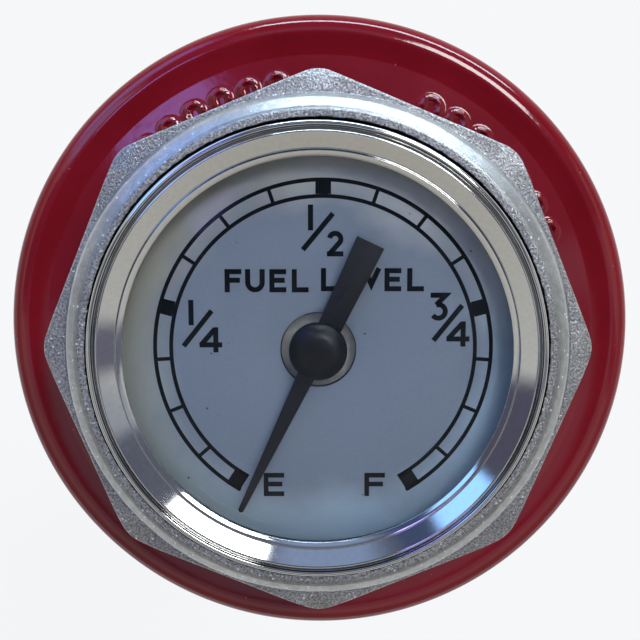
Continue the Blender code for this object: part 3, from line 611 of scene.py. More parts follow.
cap_line = rounded(
    [
        (0.0160, 0.0080, 0.0),
        (0.0238, 0.0080, 0.0012),
        (0.0270, 0.0049, 0.0012),
    ]
)[:-1]
ring_rows = 36
ring_inner = (0.0276, 0.00486)
ring_outer = (0.0341, 0.00406)
cap_line += rounded([(0.0238, 0.0080, 0.0), (0.0270, 0.0049, 0.0009), (*ring_inner, 0.0)])[1:]
cap_line += [
    (
        ring_inner[0] + (ring_outer[0] - ring_inner[0]) * i / ring_rows,
        ring_inner[1] + (ring_outer[1] - ring_inner[1]) * i / ring_rows,
    )
    for i in range(1, ring_rows + 1)
]
rim_centre = (0.0365, 0.0017)
rim_radius = 0.0026
rim_start = math.radians(101.0)
rim_rows = 16
rim = [
    (
        rim_centre[0] + rim_radius * math.cos(rim_start * (1 - i / rim_rows)),
        rim_centre[1] + rim_radius * math.sin(rim_start * (1 - i / rim_rows)),
    )
    for i in range(rim_rows + 1)
]
cap_line += rim
skirt_rows = 6
cap_line += [
    (cap_radius, rim_centre[1] + (skirt_bottom - rim_centre[1]) * i / skirt_rows)
    for i in range(1, skirt_rows + 1)
]
cap_bm = turned(sheet(cap_line, cap_sheet), cap_steps, True)


def scallop_rise(x, y):
    """Height of the pressed scallops at this point of the ring: arches open towards the axis."""
    radius = math.hypot(x, y)
    turn = math.atan2(y, x) % math.tau
    best = 0.0
    for middle in group_middles:
        off = (turn - middle + math.pi) % math.tau - math.pi
        number = round(off / scallop_pitch)
        if abs(number) > scallops_a_group // 2:
            continue
        across = (off - number * scallop_pitch) * scallop_ring
        out = radius - scallop_ring
        bend = math.atan2(across, out)
        if abs(bend) <= scallop_opening / 2:
            gap = abs(math.hypot(across, out) - scallop_radius)
        else:
            end = math.copysign(scallop_opening / 2, bend)
            gap = math.hypot(
                across - scallop_radius * math.sin(end), out - scallop_radius * math.cos(end)
            )
        share = min(max(1.0 - gap / scallop_stroke, 0.0), 1.0)
        best = max(best, share * share * (3.0 - 2.0 * share))
    return scallop_height * best


for vert in cap_bm.verts:
    radius = math.hypot(vert.co.x, vert.co.y)
    if ring_inner[0] < radius < ring_outer[0] and vert.co.z > 0.0040:
        vert.co.z += scallop_rise(vert.co.x, vert.co.y)


def red_paint():
    """Deep red gloss enamel over steel, with a slight orange peel and specks of dust."""
    finish, tree, shader, place = begin_finish("red_paint")
    patch = grain(tree, place, 0.012, 3.0)
    pits = spots(tree, place, 0.0030, 0.035)
    red = shades(
        tree,
        patch,
        (0.30, (0.225, 0.0035, 0.0110)),
        (0.70, (0.265, 0.0050, 0.0150)),
    )
    tree.links.new(blended(tree, pits, red, (0.45, 0.16, 0.16)), shader.inputs["Base Color"])
    distance, _ = axis_distance(tree, place)
    shine = span(tree, distance, rubbed_from, rubbed_to, 1.0, 0.0)
    tree.links.new(span(tree, patch, 0.3, 0.7, 0.08, 0.13), shader.inputs["Roughness"])
    tree.links.new(span(tree, shine, 0.0, 1.0, 0.16, 0.50), shader.inputs["Specular IOR Level"])
    tree.links.new(span(tree, shine, 0.0, 1.0, 0.0, 0.6), shader.inputs["Coat Weight"])
    shader.inputs["IOR"].default_value = 1.46
    shader.inputs["Coat Roughness"].default_value = 0.05
    peel = relief(tree, shader, grain(tree, place, 0.0022, 2.0), 0.00003)
    relief(tree, shader, grain(tree, place, 0.0005, 2.0), 0.000004, peel)
    return finish


red_finish = red_paint()
add_piece("red_cap", cap_bm, red_finish, "head", "red_paint", "cap_shell", sharp=50.0)

lug_reach = 0.0342
lug_bottom = skirt_bottom + 0.0005
lug_width = math.radians(30.0)
lug_steps = 40
for side, middle in (("back", 90.0), ("front", 270.0)):
    lug_bm = bmesh.new()
    section = rounded(
        [
            (lug_reach, lug_bottom, 0.0003),
            (cap_radius - cap_sheet / 2, lug_bottom, 0.0),
            (cap_radius - cap_sheet / 2, lug_bottom + cap_sheet, 0.0),
            (lug_reach, lug_bottom + cap_sheet, 0.0003),
        ],
        loop=True,
        steps=4,
    )
    start = Matrix.Rotation(math.radians(middle) - lug_width / 2, 3, "Z")
    face = lug_bm.faces.new([lug_bm.verts.new(start @ Vector((r, 0.0, z))) for r, z in section])
    bmesh.ops.spin(
        lug_bm,
        geom=[face, *face.verts, *face.edges],
        cent=(0.0, 0.0, 0.0),
        axis=(0.0, 0.0, 1.0),
        angle=lug_width,
        steps=lug_steps,
    )
    bmesh.ops.recalc_face_normals(lug_bm, faces=lug_bm.faces)
    add_piece(f"bayonet_lug_{side}", lug_bm, red_finish, "head", "red_paint")

# Cap's clamp: a dished spring-steel disc over the gasket, a washer, and a thin hexagon nut
# that draws them and the cap against the head. All are zinc plated.
nut_across_flats = 0.0360
nut_corner = 0.0206
nut_chamfer = 0.0007
clamp_bore = 0.0160


def turned_metal(name, lump, dark, light, metallic, glossy, dull, line_pitch):
    """Metal with darker and lighter patches of this size and fine lines left by a lathe."""
    finish, tree, shader, place = begin_finish(name)
    patch = grain(tree, place, lump, 4.0)
    colour = shades(tree, patch, (0.30, dark), (0.70, light))
    tree.links.new(colour, shader.inputs["Base Color"])
    shader.inputs["Metallic"].default_value = metallic
    tree.links.new(span(tree, patch, 0.3, 0.7, glossy, dull), shader.inputs["Roughness"])
    relief(tree, shader, turning_lines(tree, place, line_pitch), 0.000008)
    return finish


steel_finish = turned_metal(
    "plated_steel", 0.005, (0.46, 0.46, 0.44), (0.62, 0.61, 0.58), 1.0, 0.24, 0.42, 0.00012
)
disc_line = rounded(
    [
        (clamp_bore, 0.0067, 0.0),
        (0.0212, 0.0067, 0.0010),
        (0.0262, 0.0033, 0.0010),
        (0.0330, 0.0033, 0.0),
    ]
)
disc_bm = turned(sheet(disc_line, 0.0005), ring_steps, True)
add_piece("spring_plate", disc_bm, steel_finish, "head", "plated_steel", "spring_disc")
washer_low, washer_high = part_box("clamp_washer")
washer_bm = flat_ring(clamp_bore, washer_high.x, washer_low.z, washer_high.z, 0.00012)
add_piece("plain_washer", washer_bm, steel_finish, "head", "plated_steel", "clamp_washer")

nut_low, nut_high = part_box("lock_nut")


def hexagon_bm(across, corner, chamfer, bore, bottom, top, steps):
    """A nut: a turned ring with chamfered corners, cut to six flats."""
    bm = turned(
        rounded(
            [
                (bore, top, 0.0),
                (corner - 2 * chamfer, top, 0.0),
                (corner, top - chamfer, 0.0),
                (corner, bottom + chamfer, 0.0),
                (corner - 2 * chamfer, bottom, 0.0),
                (bore, bottom, 0.0),
            ]
        ),
        steps,
        True,
    )
    for i in range(6):
        turn = math.tau * (i + 0.5) / 6 + math.pi / 2
        out = Vector((math.cos(turn), math.sin(turn), 0.0))
        cut = bmesh.ops.bisect_plane(
            bm,
            geom=bm.verts[:] + bm.edges[:] + bm.faces[:],
            dist=0.0000005,
            plane_co=out * across / 2,
            plane_no=out,
            clear_outer=True,
        )
        rim_edges = [item for item in cut["geom_cut"] if isinstance(item, bmesh.types.BMEdge)]
        bmesh.ops.contextual_create(bm, geom=rim_edges)
    bmesh.ops.recalc_face_normals(bm, faces=bm.faces)
    return bm


nut_bm = hexagon_bm(
    nut_across_flats, nut_corner, nut_chamfer, clamp_bore - 0.0002, nut_low.z, nut_high.z, 144
)
add_piece("clamp_nut", nut_bm, steel_finish, "head", "plated_steel", "lock_nut", sharp=20.0)

# Guide rods, foot plate and bearings: two plated rods screwed into the shank, joined at the
# bottom by a stamped bar with two nuts, and a turned brass bearing at each end of the drive.
rod_offset = 0.0115
rod_radius = 0.0016
rod_end_radius = 0.0013
rod_top = -0.0080
rod_shoulder = -0.2310
rod_end = -0.2364
rod_nut_across_flats = 0.0050
rod_nut_corner = 0.00286
rod_nut_chamfer = 0.0003
rod_steps = 64
for side, x in (("left", -rod_offset), ("right", rod_offset)):
    rod_bm = turned(
        rounded(
            [
                (0.0, rod_top, 0.0),
                (rod_radius, rod_top, 0.0003),
                (rod_radius, rod_shoulder, 0.00015),
                (rod_end_radius, rod_shoulder, 0.0),
                (rod_end_radius, rod_end, 0.0003),
                (0.0, rod_end, 0.0),
            ],
            steps=3,
        ),
        rod_steps,
    )
    bmesh.ops.translate(rod_bm, verts=rod_bm.verts, vec=(x, 0.0, 0.0))
    add_piece(f"rod_{side}", rod_bm, steel_finish, "head", "plated_steel", f"guide_rod_{side}")
    rod_nut_low, rod_nut_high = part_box(f"rod_nut_{side}")
    rod_nut_bm = hexagon_bm(
        rod_nut_across_flats,
        rod_nut_corner,
        rod_nut_chamfer,
        rod_end_radius,
        rod_nut_low.z,
        rod_nut_high.z,
        96,
    )
    bmesh.ops.translate(rod_nut_bm, verts=rod_nut_bm.verts, vec=(x, 0.0, 0.0))
    add_piece(
        f"foot_nut_{side}",
        rod_nut_bm,
        steel_finish,
        "head",
        "plated_steel",
        f"rod_nut_{side}",
        sharp=20.0,
    )


def flat_solid(outline, bottom, top, edge):
    """A flat outline drawn up into a solid, with its top and bottom edges broken."""
    bm = bmesh.new()
    face = bm.faces.new([bm.verts.new((x, y, bottom)) for x, y in outline])
    drawn = bmesh.ops.extrude_face_region(bm, geom=[face])
    lifted = [item for item in drawn["geom"] if isinstance(item, bmesh.types.BMVert)]
    bmesh.ops.translate(bm, verts=lifted, vec=(0.0, 0.0, top - bottom))
    bmesh.ops.recalc_face_normals(bm, faces=bm.faces)
    level = [e for e in bm.edges if abs(e.verts[0].co.z - e.verts[1].co.z) < (top - bottom) / 2]
    if edge > 0.0:
        bmesh.ops.bevel(
            bm,
            geom=level,
            offset=edge,
            segments=2,
            profile=0.5,
            affect="EDGES",
            material=-1,
            clamp_overlap=True,
        )
    return bm


foot_low, foot_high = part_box("foot_plate")
foot_end = 0.0048
foot_boss = 0.0070
foot_outline = []
for middle, x in ((0.0, rod_offset), (180.0, -rod_offset)):
    for i in range(25):
        turn = math.radians(middle - 62.0 + 124.0 * i / 24)
        foot_outline.append((x + foot_end * math.cos(turn), foot_end * math.sin(turn)))
    for i in range(17):
        turn = math.radians(middle + 65.0 + 50.0 * i / 16)
        foot_outline.append((foot_boss * math.cos(turn), foot_boss * math.sin(turn)))
foot_bm = flat_solid(foot_outline, foot_low.z, foot_high.z, 0.00012)
add_piece("foot_bar", foot_bm, steel_finish, "head", "plated_steel", "foot_plate", sharp=30.0)

brass_finish = turned_metal(
    "brass", 0.006, (0.44, 0.28, 0.10), (0.66, 0.46, 0.19), 1.0, 0.22, 0.40, 0.00015
)
bearing_steps = 96
upper_bush_bm = turned(
    rounded(
        [
            (0.00165, -0.0100, 0.0001),
            (0.0072, -0.0100, 0.0002),
            (0.0072, -0.0163, 0.0),
            (0.0092, -0.0163, 0.0001),
            (0.0092, -0.0175, 0.0002),
            (0.0036, -0.0175, 0.0001),
            (0.0036, -0.0121, 0.0),
            (0.00165, -0.0121, 0.0),
        ],
        loop=True,
        steps=3,
    ),
    bearing_steps,
    True,
)
add_piece("spindle_bearing", upper_bush_bm, brass_finish, "head", "brass", "upper_bush")
lower_bush_bm = turned(
    rounded(
        [
            (0.0, -0.2338, 0.0),
            (0.00115, -0.2338, 0.0),
            (0.00115, -0.2313, 0.0),
            (0.0026, -0.2313, 0.0001),
            (0.0026, -0.2331, 0.0),
            (0.0042, -0.2331, 0.0001),
            (0.0042, -0.2341, 0.0002),
            (0.0, -0.2341, 0.0),
        ],
        steps=3,
    ),
    bearing_steps,
)
add_piece("pivot_bearing", lower_bush_bm, brass_finish, "head", "brass", "lower_bush")

# Drive: a brass strip twisted evenly, held in the slotted ends of a steel spindle and pivot.
# The spindle carries a ring magnet close under the head's web.
travel = 0.1760
sweep = math.radians(303.8)
strip_width = 0.0060
strip_thickness = 0.0008
strip_bottom = -0.2279
strip_top = -0.0134
slot_middle = -0.1957
strip_steps = 360


def strip_turn(height):
    """How far the strip has turned at this height: it lies along X in the float's slot at rest."""
    return sweep / travel * (height - slot_middle)


strip_bm = bmesh.new()
strip_section = rounded(
    [
        (-strip_width / 2, -strip_thickness / 2, 0.00012),
        (strip_width / 2, -strip_thickness / 2, 0.00012),
        (strip_width / 2, strip_thickness / 2, 0.00012),
        (-strip_width / 2, strip_thickness / 2, 0.00012),
    ],
    loop=True,
    steps=2,
)
strip_start = Matrix.Rotation(strip_turn(strip_bottom), 3, "Z")
strip_face = strip_bm.faces.new(
    [strip_bm.verts.new(strip_start @ Vector((x, y, strip_bottom))) for x, y in strip_section]
)
bmesh.ops.spin(
    strip_bm,
    geom=[strip_face, *strip_face.verts, *strip_face.edges],
    cent=(0.0, 0.0, 0.0),
    axis=(0.0, 0.0, 1.0),
    dvec=(0.0, 0.0, (strip_top - strip_bottom) / strip_steps),
    angle=sweep / travel * (strip_top - strip_bottom),
    steps=strip_steps,
)
bmesh.ops.recalc_face_normals(strip_bm, faces=strip_bm.faces)
add_piece("twisted_strip", strip_bm, brass_finish, "spindle", "brass", "twist_strip", sharp=50.0)


def cut_by(bm, tool_bm, operation="DIFFERENCE"):
    """Cuts or joins one closed mesh with another and gives the result."""
    objects = []
    for label, source in (("cut_body", bm), ("cut_tool", tool_bm)):
        mesh = bpy.data.meshes.new(label)
        source.to_mesh(mesh)
        source.free()
        obj = bpy.data.objects.new(label, mesh)
        bpy.context.scene.collection.objects.link(obj)
        objects.append(obj)
    body, tool = objects
    modifier = body.modifiers.new("cut", "BOOLEAN")
    modifier.operation = operation
    modifier.solver = "EXACT"
    modifier.object = tool
    bpy.context.view_layer.update()
    done = body.evaluated_get(bpy.context.evaluated_depsgraph_get())
    result = bmesh.new()
    result.from_mesh(done.to_mesh())
    done.to_mesh_clear()
    for obj in objects:
        mesh = obj.data
        bpy.data.objects.remove(obj, do_unlink=True)
        bpy.data.meshes.remove(mesh)
    return result


def slot_bm(bottom, top, turn, length, width):
    """A square bar across the axis, to cut a driving slot."""
    bm = flat_solid(
        [(-length / 2, -width / 2), (length / 2, -width / 2), (length / 2, width / 2),
         (-length / 2, width / 2)],
        bottom,
        top,
        0.0,
    )
    bmesh.ops.rotate(bm, verts=bm.verts, cent=(0.0, 0.0, 0.0), matrix=Matrix.Rotation(turn, 3, "Z"))
    return bm


driver_slot = strip_thickness + 0.0004
spindle_bm = turned(
    rounded(
        [
            (0.0, 0.0084, 0.0),
            (0.0015, 0.0084, 0.0002),
            (0.0015, -0.0124, 0.0),
            (0.0022, -0.0124, 0.0002),
            (0.0022, -0.0157, 0.0002),
            (0.0, -0.0157, 0.0),
        ],
        steps=3,
    ),
    rod_steps,
)
spindle_bm = cut_by(
    spindle_bm, slot_bm(-0.0180, -0.0131, strip_turn(-0.01455), 0.0090, driver_slot)
)
add_piece("spindle", spindle_bm, steel_finish, "spindle", "plated_steel", "upper_spindle")
pivot_bm = turned(
    rounded(
        [
            (0.0, -0.2256, 0.0),
            (0.0022, -0.2256, 0.0002),
            (0.0022, -0.2289, 0.0002),
            (0.0010, -0.2289, 0.0),
            (0.0010, -0.2334, 0.0002),
            (0.0, -0.2334, 0.0),
        ],
        steps=3,
    ),
    rod_steps,
)
pivot_bm = cut_by(pivot_bm, slot_bm(-0.2282, -0.2230, strip_turn(-0.22675), 0.0090, driver_slot))
add_piece("foot_pivot", pivot_bm, steel_finish, "spindle", "plated_steel", "lower_pivot")


def magnet_grey():
    """Dark sintered magnet, slightly porous."""
    finish, tree, shader, place = begin_finish("magnet_grey")
    pores = grain(tree, place, 0.0004, 4.0)
    tree.links.new(
        shades(tree, pores, (0.30, (0.055, 0.055, 0.060)), (0.70, (0.130, 0.130, 0.140))),
        shader.inputs["Base Color"],
    )
    shader.inputs["Metallic"].default_value = 0.6
    tree.links.new(span(tree, pores, 0.3, 0.7, 0.38, 0.55), shader.inputs["Roughness"])
    relief(tree, shader, pores, 0.00003)
    return finish


magnet_finish = magnet_grey()
magnet_edge = 0.0002
magnets = (
    ("drive_magnet", "spindle", 0.00165),
    ("pointer_magnet", "pointer", 0.0012),
)
for node, body, bore in magnets:
    low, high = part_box(node)
    magnet_bm = flat_ring(bore, high.x, low.z, high.z, magnet_edge)
    add_piece(f"ring_{node}", magnet_bm, magnet_finish, body, "magnet_grey", node)

# Float: a varnished cork cylinder between two brass discs, held by two brass rivets. The upper
# disc's slot rides on the twisted strip, and both discs slide on the rods.
float_radius = 0.0175
float_top = -0.1965
float_bottom = -0.2285
float_bore = 0.0042
plate_radius = 0.0146
rivet_offset = 0.0115
rivet_radius = 0.0012


def bar_bm(radius, bottom, top, x, y, steps=48):
    """A round bar standing at x, y."""
    bm = bmesh.new()
    bmesh.ops.create_cone(
        bm,
        cap_ends=True,
        segments=steps,
        radius1=radius,
        radius2=radius,
        depth=top - bottom,
        matrix=Matrix.Translation((x, y, (bottom + top) / 2)),
    )
    return bm


def drilled(bm, bottom, top, rod_hole, rivet_hole):
    """Drills the two rod holes and the two rivet holes."""
    holes = (
        (-rod_offset, 0.0, rod_hole),
        (rod_offset, 0.0, rod_hole),
        (0.0, -rivet_offset, rivet_hole),
        (0.0, rivet_offset, rivet_hole),
    )
    for x, y, radius in holes:
        bm = cut_by(bm, bar_bm(radius, bottom - 0.003, top + 0.003, x, y))
    return bm


def cork():
    """Composition cork under varnish: pale and dark granules with dark pores."""
    finish, tree, shader, place = begin_finish("cork")
    granules = tree.nodes.new("ShaderNodeTexVoronoi")
    granules.inputs["Scale"].default_value = 1.0 / 0.0016
    tree.links.new(place, granules.inputs["Vector"])
    tone = tree.nodes.new("ShaderNodeSeparateColor")
    tree.links.new(granules.outputs["Color"], tone.inputs["Color"])
    fine = grain(tree, place, 0.0005, 4.0, 0.7)
    body = shades(
        tree,
        tone.outputs["Red"],
        (0.05, (0.20, 0.105, 0.048)),
        (0.50, (0.42, 0.245, 0.120)),
        (0.95, (0.56, 0.360, 0.190)),
    )
    pores = spots(tree, place, 0.0021, 0.16)
    tree.links.new(blended(tree, pores, body, (0.07, 0.035, 0.018)), shader.inputs["Base Color"])
    tree.links.new(span(tree, fine, 0.3, 0.7, 0.45, 0.70), shader.inputs["Roughness"])
    edges = relief(tree, shader, granules.outputs["Distance"], 0.00016)
    low = relief(tree, shader, fine, 0.00008, edges)
    relief(tree, shader, sums(tree, "MULTIPLY", pores, -1.0), 0.00025, low)
    return finish


cork_finish = cork()
float_bm = turned(
    rounded(
        [
            (float_bore, float_top, 0.0002),
            (float_radius, float_top, 0.0020),
            (float_radius, float_bottom, 0.0020),
            (float_bore, float_bottom, 0.0002),
        ],
        loop=True,
    ),
    ring_steps,
    True,
)
float_bm = drilled(float_bm, float_bottom, float_top, rod_radius + 0.0006, rivet_radius + 0.0001)
add_piece("cork_float", float_bm, cork_finish, "float", "cork", "float")

plates = {
    "float_plate_top": slot_bm(-0.2000, -0.1940, 0.0, 0.0068, strip_thickness + 0.0008),
    "float_plate_bottom": bar_bm(float_bore, -0.2320, -0.2260, 0.0, 0.0, 96),
}
for node, opening in plates.items():
    low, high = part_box(node)
    plate_bm = turned(
        rounded(
            [
                (0.0, high.z, 0.0),
                (plate_radius, high.z, 0.0002),
                (plate_radius, low.z, 0.0002),
                (0.0, low.z, 0.0),
            ],
            steps=3,
        ),
        ring_steps,
    )
    plate_bm = drilled(plate_bm, low.z, high.z, rod_radius + 0.0003, rivet_radius + 0.0001)
    plate_bm = cut_by(plate_bm, opening)
    add_piece(f"brass_{node}", plate_bm, brass_finish, "float", "brass", node)

rivet_head = 0.0009
for side, y in (("front", -rivet_offset), ("back", rivet_offset)):
    low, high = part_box(f"float_rivet_{side}")
    rivet_bm = turned(
        rounded(
            [
                (0.0, high.z, 0.0),
                (0.0013, high.z, 0.0006),
                (0.0021, high.z - rivet_head, 0.0),
                (rivet_radius, high.z - rivet_head, 0.0),
                (rivet_radius, low.z + rivet_head, 0.0),
                (0.0021, low.z + rivet_head, 0.0),
                (0.0013, low.z, 0.0006),
                (0.0, low.z, 0.0),
            ],
            steps=4,
        ),
        rod_steps,
    )
    bmesh.ops.translate(rivet_bm, verts=rivet_bm.verts, vec=(0.0, y, 0.0))
    add_piece(f"rivet_{side}", rivet_bm, brass_finish, "float", "brass", f"float_rivet_{side}")

# Dial: a thin aluminium disc with a satin silver-blue lacquer, a hole round the pointer's hub,
# and black printed scale, fractions and legend. The print stands a hair proud of the lacquer.
dial_radius = 0.0233
dial_hole = 0.0041
rim_radii = (0.0155, 0.0205)
dial_low, dial_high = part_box("dial")
print_height = 0.00004
scale_centre = (0.00055, 0.0001)
scale_outer = 0.01855
scale_inner = 0.01678
scale_line = 0.00043
tick_line = 0.00041
block_width = 0.00170
half_sweep = 150.0
divisions = 16
letter_line = 0.00056
letter_height = 0.00255
letter_width = 0.00185


def dial_lacquer():
    """Satin lacquer over aluminium, bluish in the middle, with painted reflections and painted light at
    the rim and a painted shadow round the hole.
    """
    finish, tree, shader, place = begin_finish("dial_lacquer")
    distance, _ = axis_distance(tree, place)
    wander = grain(tree, place, 0.011, 3.0)
    drift = span(tree, wander, 0.3, 0.7, -0.0022, 0.0022)
    across = tree.nodes.new("ShaderNodeSeparateXYZ")
    tree.links.new(place, across.inputs["Vector"])
    lean = sums(tree, "SUBTRACT", across.outputs["Y"], across.outputs["X"])
    # Painted reflections on the rim: a warm tint towards the upper left and a blue tint towards the lower
    # right.
    lower = span(tree, lean, -0.026, 0.026, 1.0, 0.0)
    rim = blended(tree, lower, (0.70, 0.66, 0.54), (0.60, 0.80, 0.98))
    # Painted light: the upper right of the rim, which the bezel shades, is made paler.
    rise = sums(tree, "MULTIPLY", across.outputs["X"], 0.53)
    upper = span(tree, sums(tree, "ADD", across.outputs["Y"], rise), 0.0115, 0.0215, 0.0, 1.0)
    rim_with_painted_light = blended(tree, upper, rim, (0.95, 0.93, 0.88))
    outer = span(tree, sums(tree, "ADD", distance, drift), *rim_radii, 0.0, 1.0)
    tone = blended(tree, outer, (0.350, 0.400, 0.505), rim_with_painted_light)
    fine = grain(tree, place, 0.0004, 3.0)
    flecks = shades(tree, fine, (0.30, (0.32, 0.37, 0.48)), (0.70, (0.46, 0.52, 0.64)))
    mixed = blended(tree, 0.22, tone, flecks)
    dust = spots(tree, place, 0.0045, 0.030)
    dusty = blended(tree, dust, mixed, (0.05, 0.05, 0.07))
    # Painted shadow: a thin dark ring round the hole.
    painted_hole_shadow = span(tree, distance, dial_hole + 0.00004, dial_hole + 0.00014, 1.0, 0.0)
    tree.links.new(blended(tree, painted_hole_shadow, dusty, (0.02, 0.02, 0.025)), shader.inputs["Base Color"])
    shader.inputs["Metallic"].default_value = 0.12
    tree.links.new(span(tree, fine, 0.3, 0.7, 0.40, 0.52), shader.inputs["Roughness"])
    relief(tree, shader, fine, 0.000006)
    return finish


def print_black():
    """Screen-printed ink, slightly thin in places."""
    finish, tree, shader, place = begin_finish("print_black")
    thin = grain(tree, place, 0.0006, 4.0, 0.7)
    tree.links.new(
        shades(tree, thin, (0.35, (0.004, 0.006, 0.010)), (0.80, (0.012, 0.015, 0.022))),
        shader.inputs["Base Color"],
    )
    shader.inputs["Specular IOR Level"].default_value = 0.2
    tree.links.new(span(tree, thin, 0.3, 0.7, 0.45, 0.60), shader.inputs["Roughness"])
    relief(tree, shader, thin, 0.000006)
    return finish


dial_bm = flat_ring(dial_hole, dial_radius, dial_low.z, dial_high.z, 0.00008)
add_piece("dial_disc", dial_bm, dial_lacquer(), "head", "dial_enamel", "dial")


def ribbon(points, width):
    """A flat stroke along (x, y) points, with mitred corners, as a bmesh in the print's plane."""
    line = [Vector(point) for point in points]
    steps = [(after - before).normalized() for before, after in zip(line, line[1:])]
    sides = [Vector((-step.y, step.x)) for step in steps]
    bm = bmesh.new()
    pairs = []
    for i, point in enumerate(line):
        first = sides[max(i - 1, 0)]
        second = sides[min(i, len(sides) - 1)]
        reach = (first + second) / (1.0 + first.dot(second)) * width / 2
        pairs.append(
            [bm.verts.new((*(point + reach * sign), dial_high.z)) for sign in (1.0, -1.0)]
        )
    for (a, b), (d, c) in zip(pairs, pairs[1:]):
        bm.faces.new((a, b, c, d))
    return bm


def curve_points(centre, radius, start, end, count):
    """Points of an arc; angles in degrees, clockwise from the top of the dial."""
    turns = [math.radians(start + (end - start) * i / (count - 1)) for i in range(count)]
    return [
        (centre[0] + radius * math.sin(turn), centre[1] + radius * math.cos(turn))
        for turn in turns
    ]


def letter_strokes(letter, x, y, width, height, line):
    """Strokes of one plain block letter whose lower left corner is at x, y."""
    half = line / 2
    left, right = x, x + width
    bottom, top = y, y + height
    stem = [(left + half, bottom), (left + half, top)]
    upper_bar = [(left + line, top - half), (right, top - half)]
    middle_bar = [(left + line, y + height * 0.52), (right - width * 0.09, y + height * 0.52)]
    lower_bar = [(left + line, bottom + half), (right, bottom + half)]
    bowl = width / 2 - half
    if letter == "L":
        return [stem, lower_bar]
    if letter == "F":
        return [stem, upper_bar, middle_bar]
    if letter == "E":
        return [stem, upper_bar, middle_bar, lower_bar]
    if letter == "U":
        turn = curve_points((left + width / 2, bottom + half + bowl), bowl, 270.0, 90.0, 13)
        return [[(left + half, top), *turn, (right - half, top)]]
    if letter == "V":
        spread = math.hypot(height, width / 2) / width
        foot = (left + width / 2, bottom + line * spread)
        return [[(left + half * 0.9, top), foot, (right - half * 0.9, top)]]
    raise ValueError(letter)


dial_strokes = []
for radius in (scale_outer, scale_inner):
    ring_points = curve_points(scale_centre, radius, -half_sweep, half_sweep, 181)
    dial_strokes.append((ring_points, scale_line))
for i in range(divisions + 1):
    turn = -half_sweep + 2 * half_sweep * i / divisions
    quarter = i % (divisions // 4) == 0
    inner = scale_inner + scale_line / 2
    outer = scale_outer - scale_line / 2
    if quarter:
        inset = math.degrees(block_width / 2 / scale_inner)
        shift = inset if i == 0 else -inset if i == divisions else 0.0
        inner -= scale_line * 1.02 if i in (0, divisions) else 0.0
        outer += scale_line * 1.02 if i in (0, divisions) else 0.0
    else:
        shift = 0.0
    spoke = [curve_points(scale_centre, reach, turn + shift, 0.0, 2)[0] for reach in (inner, outer)]
    dial_strokes.append((spoke, block_width if quarter else tick_line))

words = (
    ("FUEL", (-0.01025, -0.00800, -0.00535, -0.00290), 0.00637),
    ("LEVEL", (0.00030, 0.00264, 0.00475, 0.00726, 0.00975), 0.00650),
)
for word, lefts, bottom in words:
    for letter, left in zip(word, lefts):
        wide = letter_width + (0.0003 if letter in "UV" else 0.0)
        for stroke in letter_strokes(letter, left, bottom, wide, letter_height, letter_line):
            dial_strokes.append((stroke, letter_line))
end_letters = (("E", -0.00615), ("F", 0.00518))
for letter, left in end_letters:
    for stroke in letter_strokes(letter, left, -0.01672, 0.0023, 0.00268, letter_line * 0.95):
        dial_strokes.append((stroke, letter_line * 0.95))


def one_strokes(x, y, height):
    """A 1 as a plain stem."""
    return [[(x, y), (x, y + height)]]


def two_strokes(x, y, width, height):
    """A 2 with a round head, a straight neck and a flat foot."""
    radius = width / 2 - letter_line / 2
    head = curve_points((x + width / 2, y + height - width / 2), radius, -80.0, 125.0, 15)
    foot = (x + letter_line / 2, y + letter_line / 2)
    return [[*head, foot], [(x, y + letter_line / 2), (x + width, y + letter_line / 2)]]


def three_strokes(x, y, width, height):
    """A 3 with a flat top, a slanted neck and a round lower bowl."""
    radius = width * 0.47
    centre = (x + width * 0.50, y + radius)
    bowl = curve_points(centre, radius - letter_line / 2, -20.0, 235.0, 17)
    top_right = (x + width * 0.86, y + height - letter_line / 2)
    return [
        [(x + width * 0.10, y + height - letter_line / 2), top_right, bowl[0]],
        bowl,
    ]


def four_strokes(x, y, width, height):
    """A closed 4: slanted stroke, crossbar and stem."""
    stem = x + width * 0.72
    bar = y + height * 0.30
    return [
        [(stem, y), (stem, y + height)],
        [(stem - letter_line * 0.2, y + height - letter_line * 0.4), (x + letter_line * 0.3, bar)],
        [(x, bar), (stem - letter_line / 2, bar)],
        [(stem + letter_line / 2, bar), (x + width, bar)],
    ]


fraction_strokes = [
    *one_strokes(-0.00083, 0.01315, 0.0028),
    [(-0.00168, 0.01104), (0.00161, 0.01500)],
    *two_strokes(0.00095, 0.01032, 0.0018, 0.0028),
    *one_strokes(-0.01398, 0.00272, 0.0028),
    [(-0.01485, 0.00039), (-0.01172, 0.00433)],
    *four_strokes(-0.01310, -0.00031, 0.00250, 0.0028),
    *three_strokes(0.01213, 0.00325, 0.0022, 0.0031),
    [(0.01272, 0.00103), (0.01584, 0.00496)],
    *four_strokes(0.01416, 0.00037, 0.00254, 0.0028),
]
dial_strokes += [(stroke, letter_line) for stroke in fraction_strokes]

ink_bm = bmesh.new()
for points, width in dial_strokes:
    stroke_bm = ribbon(points, width)
    bmesh.ops.recalc_face_normals(stroke_bm, faces=stroke_bm.faces)
    drawn = bmesh.ops.extrude_face_region(stroke_bm, geom=stroke_bm.faces[:])
    lifted = [item for item in drawn["geom"] if isinstance(item, bmesh.types.BMVert)]
    bmesh.ops.translate(stroke_bm, verts=lifted, vec=(0.0, 0.0, print_height))
    bmesh.ops.recalc_face_normals(stroke_bm, faces=stroke_bm.faces)
    stroke_mesh = bpy.data.meshes.new("stroke")
    stroke_bm.to_mesh(stroke_mesh)
    stroke_bm.free()
    ink_bm.from_mesh(stroke_mesh)
    bpy.data.meshes.remove(stroke_mesh)
add_piece("dial_print", ink_bm, print_black(), "head", "pointer_black")

